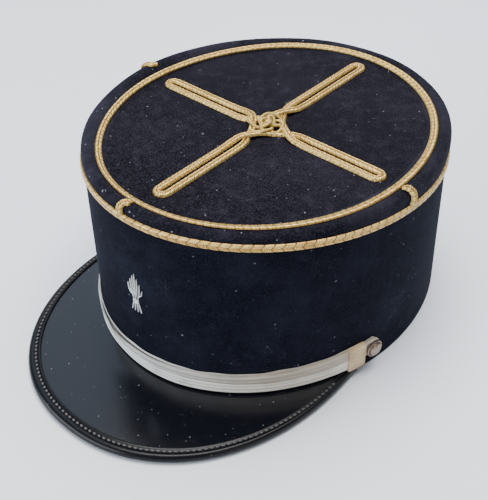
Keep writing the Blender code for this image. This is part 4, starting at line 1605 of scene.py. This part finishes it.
@dataclass
class Strap:
    """The silver strap over the front, its backing layer, its slides and its buttons.

    The height of its lower edge, low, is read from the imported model.
    """

    width: float = 0.0122
    thickness: float = 0.0012
    lean: float = 0.0022
    end: float = math.radians(79.0)
    low: float = 0.0
    slide_wall: float = 0.0005
    slide_length: float = 0.0100
    slide_puff: float = 0.0002
    tongue_cut: float = 0.0038
    button_turn: float = math.radians(76.5)
    button_radius: float = 0.0046
    button_rim: float = 0.0008
    button_dome: float = 0.0020
    button_above: float = 0.0013
    ribs: int = 5
    rib_height: float = 0.00009
    rounded: float = 0.04
    thinnest: float = 0.55
    ripple: float = 0.00012
    petals: int = 8
    petal_height: float = 0.00016
    rope_strands: int = 40
    rope_height: float = 0.00006
    rope_place: float = 0.91
    dome_edge: float = 0.84
    slide_squareness: float = 0.22
    backing_rise: float = 0.0007
    backing_wave: float = 0.0005
    backing_tuck: float = 0.0012
    backing_foot: float = 0.45

    # The cream and soiled tones are the strap's white and grey painted warmer towards +X, as under
    # warm light.
    silver: ClassVar[Finish] = RibbedSilver(
        "Silver strap cloth", pale=(1.0, 1.0, 0.97), grey=(0.52, 0.52, 0.50),
        cream=(0.92, 0.84, 0.71), soiled=(0.42, 0.35, 0.27), line=(0.16, 0.14, 0.12),
        ribs=5.0, threads=1.2,
    )
    cream: ClassVar[Finish] = WovenCloth(
        "Cream slide cloth", pale=(0.78, 0.59, 0.35), soiled=(0.47, 0.32, 0.17), warp=2.6, weft=1.7
    )
    metal: ClassVar[Finish] = SilveredMetal(
        "Silvered button", bright=(0.38, 0.295, 0.235), tarnish=(0.095, 0.066, 0.048)
    )

    @property
    def standoff(self) -> float:
        """From the wall to the strap's back."""
        return self.slide_wall + 2 * CLEARANCE

    @property
    def face(self) -> float:
        """From the wall to the strap's face."""
        return self.standoff + self.thickness

    @property
    def button_level(self) -> float:
        """Height of the buttons' middles."""
        return self.low + self.width / 2 + self.button_above

    def slide_turns(self) -> tuple[float, float]:
        """Where a slide starts and ends, at the button's edge."""
        far = CROWN.turn_past(self.button_turn, -self.button_radius - CLEARANCE)
        return CROWN.turn_past(far, -self.slide_length), far

    def edges(self, turn: Array) -> tuple[Array, Array]:
        """The heights of the strap's lower and upper edge, which narrow to a rounded tongue.

        Args:
            turn: angles.

        Returns:
            Both heights at each.
        """
        near, far = self.slide_turns()
        shoulder = (near + far) / 2
        way, share = np.array(TONGUE_ROUND).T
        level = self.button_level
        tongue = self.button_turn + (self.end - self.button_turn) * way
        at = np.concatenate(((0, shoulder, (shoulder + far) / 2), tongue))
        floor = self.low + self.tongue_cut
        low = np.concatenate(((self.low, self.low, floor), level - (level - floor) * share))
        high_edge = self.low + self.width
        high = np.concatenate(((high_edge,) * 3, level + (high_edge - level) * share))
        dip = between(STRAP_DIPS, np.degrees(turn))
        return np.interp(np.abs(turn), at, low), np.interp(np.abs(turn), at, high) - dip

    def strap_skin(self) -> Skin:
        """The strap: n ribs of height h |sin(n pi v)| over its face, and rounded edges."""
        turn = np.linspace(-self.end, self.end, 320)
        v = np.linspace(0, 1, 46)
        edge = np.clip(np.minimum(v, 1 - v) / self.rounded, 0, 1)
        hug = between(STRAP_HUGS, np.degrees(turn))[:, None]
        full = self.thinnest + (1 - self.thinnest) * hug
        thick = self.thickness * full * np.sqrt(1 - (1 - edge) ** 2)
        rib = self.rib_height * np.abs(np.sin(self.ribs * math.pi * v)) + thick
        ripple = self.ripple * waves(turn * 3, (3, 7, 12), 0.9)[:, None] * v
        lean = (self.lean * between(STRAP_LEANS, np.degrees(turn)))[:, None]
        front = self.standoff * hug + lean * v**1.5 + rib + ripple
        back_v = np.array([0.97, 0.5, 0.03])
        back = self.standoff * hug + lean * back_v**1.5
        low, high = self.edges(turn)
        height = low[:, None] + (high - low)[:, None] * np.concatenate((v, back_v))
        grid = CROWN.wall(turn[:, None], height, np.concatenate((front, back), 1))
        u = length_along(grid[:, 20], False) * 1000
        return Skin().add_grid(grid, u, np.append(np.concatenate((v, back_v)), 0.0))

    def backing_skin(self) -> Skin:
        """A thinner layer behind the strap, whose edge stands above it and hugs the wall."""
        turn = np.linspace(-self.end * 0.97, self.end * 0.99, 280)
        rise = self.backing_rise + self.backing_wave * waves(turn * 4, (2, 5, 9), 1.9)
        bottom = self.low + self.width * self.backing_foot
        near_end = np.clip((self.end * 0.99 - np.abs(turn)) / 0.02, 0, 1)
        top = self.low + self.width + rise * near_end - self.backing_tuck * (1 - near_end)
        top = top - between(STRAP_DIPS, np.degrees(turn))
        s = np.array([0, 0.25, 0.5, 0.75, 0.93, 1.0, 1.0, 0.93, 0.5, 0.0])
        out = np.array([0.65, 0.65, 0.65, 0.65, 0.65, 0.5, 0.35, 0.15, 0.15, 0.15]) * 0.001
        height = bottom + (top[:, None] - bottom) * s
        grid = CROWN.wall(turn[:, None], height, CLEARANCE * 0.3 + out)
        u = length_along(grid[:, 3], False) * 1000
        return Skin().add_grid(grid, u, np.append(0.55 + 0.45 * s, 0.55))

    def slide_skin(self, side: int) -> Skin:
        """A flat sleeve: a rounded oblong round the strap, over its wall's own profile."""
        near, far = self.slide_turns()
        middle_out = (self.standoff + self.face) / 2
        middle_z = self.low + self.width / 2
        half_out = self.thickness / 2 + CLEARANCE
        half_z = self.width / 2 + CLEARANCE
        angle = np.linspace(0, math.tau, 72, endpoint=False)
        ring_z, ring_out = (
            np.sign(wave) * np.abs(wave) ** self.slide_squareness
            for wave in (np.cos(angle), np.sin(angle))
        )
        shares = np.array([0.0, 0.03, 0.12, 0.3, 0.5, 0.7, 0.88, 0.97, 1.0, 0.97, 0.5, 0.03])
        wall = np.array([0.45, 0.85, 1.0, 1.0, 1.0, 1.0, 1.0, 0.85, 0.45, 0.05, 0.05, 0.05])
        wall = wall * (self.slide_wall + self.slide_puff)
        turn = side * (near + (far - near) * shares)
        height = middle_z + (half_z + wall) * ring_z[:, None]
        out = middle_out + (half_out + wall) * ring_out[:, None]
        grid = CROWN.wall(np.broadcast_to(turn, height.shape), height, out)
        u = np.append(length_along(grid[:, 4], True), 0)[: len(angle) + 1] * 1000
        v = np.append(shares, shares[0]) * self.slide_length * 1000
        return Skin().add_grid(grid, u, v, ring=True)

    def button_skin(self, side: int) -> Skin:
        """A turned button: z = rim + dome (1 - (r / R)^2)^(1/2), with a ring and eight petals."""
        r = np.array(BUTTON_RADII)
        dome = self.button_rim + self.button_dome * np.sqrt(np.maximum(0, 1 - (r / 0.86) ** 2))
        rim = self.button_rim * (1.1 + 0.5 * np.exp(-(((r - self.rope_place) / 0.05) ** 2)))
        height = np.where(r < self.dome_edge, dome, rim)
        height = np.where(np.abs(r - 0.82) < 0.03, self.button_rim * 0.8, height)
        profile_r = np.concatenate((r, [1.0, 0.27, 0.26, 0.02])) * self.button_radius
        profile_z = np.concatenate((height, [0.0, 0.0, -CLEARANCE, -CLEARANCE]))
        angle = np.linspace(0, math.tau, 64, endpoint=False)[:, None]
        share = profile_r / self.button_radius
        window = np.clip((share - 0.12) / 0.15, 0, 1) * np.clip((0.70 - share) / 0.12, 0, 1)
        petals = self.petal_height * np.cos(self.petals * angle) * window * (profile_z > 0.0009)
        near_rope = np.exp(-(((share - self.rope_place) / 0.04) ** 2))
        rope = self.rope_height * np.cos(self.rope_strands * angle) * near_rope
        up = np.broadcast_to(profile_z, (64, len(profile_z))) + petals + rope
        spot = np.array(side * self.button_turn), np.array(self.button_level)
        normal = CROWN.outwards(*spot)
        across = unit(np.cross(UPRIGHT, normal))
        raised = np.cross(normal, across)
        centre = CROWN.wall(*spot, self.face + 2 * CLEARANCE)
        grid = (
            centre
            + (profile_r * np.cos(angle))[..., None] * across
            + (profile_r * np.sin(angle))[..., None] * raised
            + up[..., None] * normal
        )
        return Skin().add_grid(grid, across=share, ring=True, loop=False)

    def build(self) -> None:
        """Makes the strap, its backing, the slides and the buttons."""
        self.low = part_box("chin_strap")[0].z
        settle(self.strap_skin().piece("strap_face"), self.silver, Slot.SILVER, "chin_strap")
        settle(self.backing_skin().piece("strap_backing"), self.silver, Slot.SILVER)
        for name, side in (("left", 1), ("right", -1)):
            sleeve = self.slide_skin(side).piece(f"slide_sleeve_{name}")
            settle(sleeve, self.cream, Slot.SILVER, f"slide_{name}")
            button = self.button_skin(side).piece(f"button_dome_{name}", 40)
            settle(button, self.metal, Slot.METAL, f"button_{name}")


@dataclass
class Studio:
    """The pale table, the soft lights and the photograph's camera."""

    azimuth: float = math.radians(42.2)
    elevation: float = math.radians(39.9)
    roll: float = math.radians(-1.35)
    distance: float = 0.4618
    focal: float = 850.0
    frame_width: float = 488.0
    sensor: float = 36.0
    target: Triple = (-0.0080, -0.0136, 0.0186)
    aim_height: float = 0.05
    table_half: float = 3.0
    sky: Colour = (0.84, 0.90, 1.0)
    sky_strength: float = 0.36
    lights: tuple[tuple[Any, ...], ...] = (
        ("Window", (-1.30, 0.90, 1.18), (1.8, 1.2), 8.3, (0.63, 0.77, 1.0)),
        ("Ceiling", (-0.05, 0.25, 1.35), (1.1, 1.1), 38.0, (1.0, 0.98, 0.95)),
        ("Side window", (-0.60, -1.25, 0.42), (1.5, 0.70), 24.0, (0.86, 0.93, 1.0)),
        ("Lamp", (1.10, -0.30, 0.60), (0.6, 0.6), 1.0, (1.0, 0.87, 0.72)),
    )

    def camera(self) -> None:
        """Looks at the target along (cos e sin a, -cos e cos a, sin e), turned by the roll."""
        a, e = self.azimuth, self.elevation
        back = np.array((math.cos(e) * math.sin(a), -math.cos(e) * math.cos(a), math.sin(e)))
        level = np.array((math.cos(a), math.sin(a), 0.0))
        right = math.cos(self.roll) * level + math.sin(self.roll) * np.cross(back, level)
        up = np.cross(back, right)
        spot = np.array(self.target) + (0, CROWN_MIDDLE_Y, 0) + back * self.distance
        data = bpy.data.cameras.new("Camera")
        data.sensor_fit = "HORIZONTAL"
        data.sensor_width = self.sensor
        data.lens = self.focal / self.frame_width * self.sensor
        data.clip_start = 0.01
        made = placed("Camera", data)
        turned = np.column_stack((right, up, back))
        made.matrix_world = Matrix.Translation(Vector(spot)) @ Matrix(turned.tolist()).to_4x4()
        bpy.context.scene.camera = made

    def softbox(
        self, name: str, spot: Triple, size: tuple[float, float], power: float, colour: Colour
    ) -> None:
        """An oblong area light that faces the crown and isn't seen itself.

        Args:
            name: its name.
            spot: where it stands.
            size: its width and height.
            power: its power in watts.
            colour: its colour.
        """
        data = bpy.data.lights.new(name, "AREA")
        data.shape = "RECTANGLE"
        data.size, data.size_y = size
        data.energy = power
        data.color = colour
        made = placed(name, data)
        made.visible_camera = False
        aim = Vector((0, CROWN_MIDDLE_Y, self.aim_height)) - Vector(spot)
        turned = aim.to_track_quat("-Z", "Y").to_matrix().to_4x4()
        made.matrix_world = Matrix.Translation(Vector(spot)) @ turned

    def build(self) -> None:
        """Lays the table, lights it and sets the camera."""
        mesh = bpy.data.meshes.new("table")
        corners = ((-1, -1), (1, -1), (1, 1), (-1, 1))
        half = self.table_half
        mesh.from_pydata([(x * half, y * half, 0) for x, y in corners], [], [(0, 1, 2, 3)])
        table = placed("table", mesh)
        table.data.materials.append(PaleTable().material())
        world = bpy.data.worlds.new("Room")
        world.use_nodes = True
        sky = world.node_tree.nodes["Background"].inputs
        sky["Color"].default_value = (*self.sky, 1.0)
        sky["Strength"].default_value = self.sky_strength
        bpy.context.scene.world = world
        for light in self.lights:
            self.softbox(*light)
        self.camera()


def main() -> None:
    """Builds the studio and each sub-assembly in turn."""
    logging.basicConfig(level=logging.INFO, format="%(message)s")
    for assembly in (Studio(), Crown(), Braids(), Knot(), Badge(), Peak(), Strap()):
        LOG.info("building %s", type(assembly).__name__)
        assembly.build()


if __name__ == "__main__":
    main()
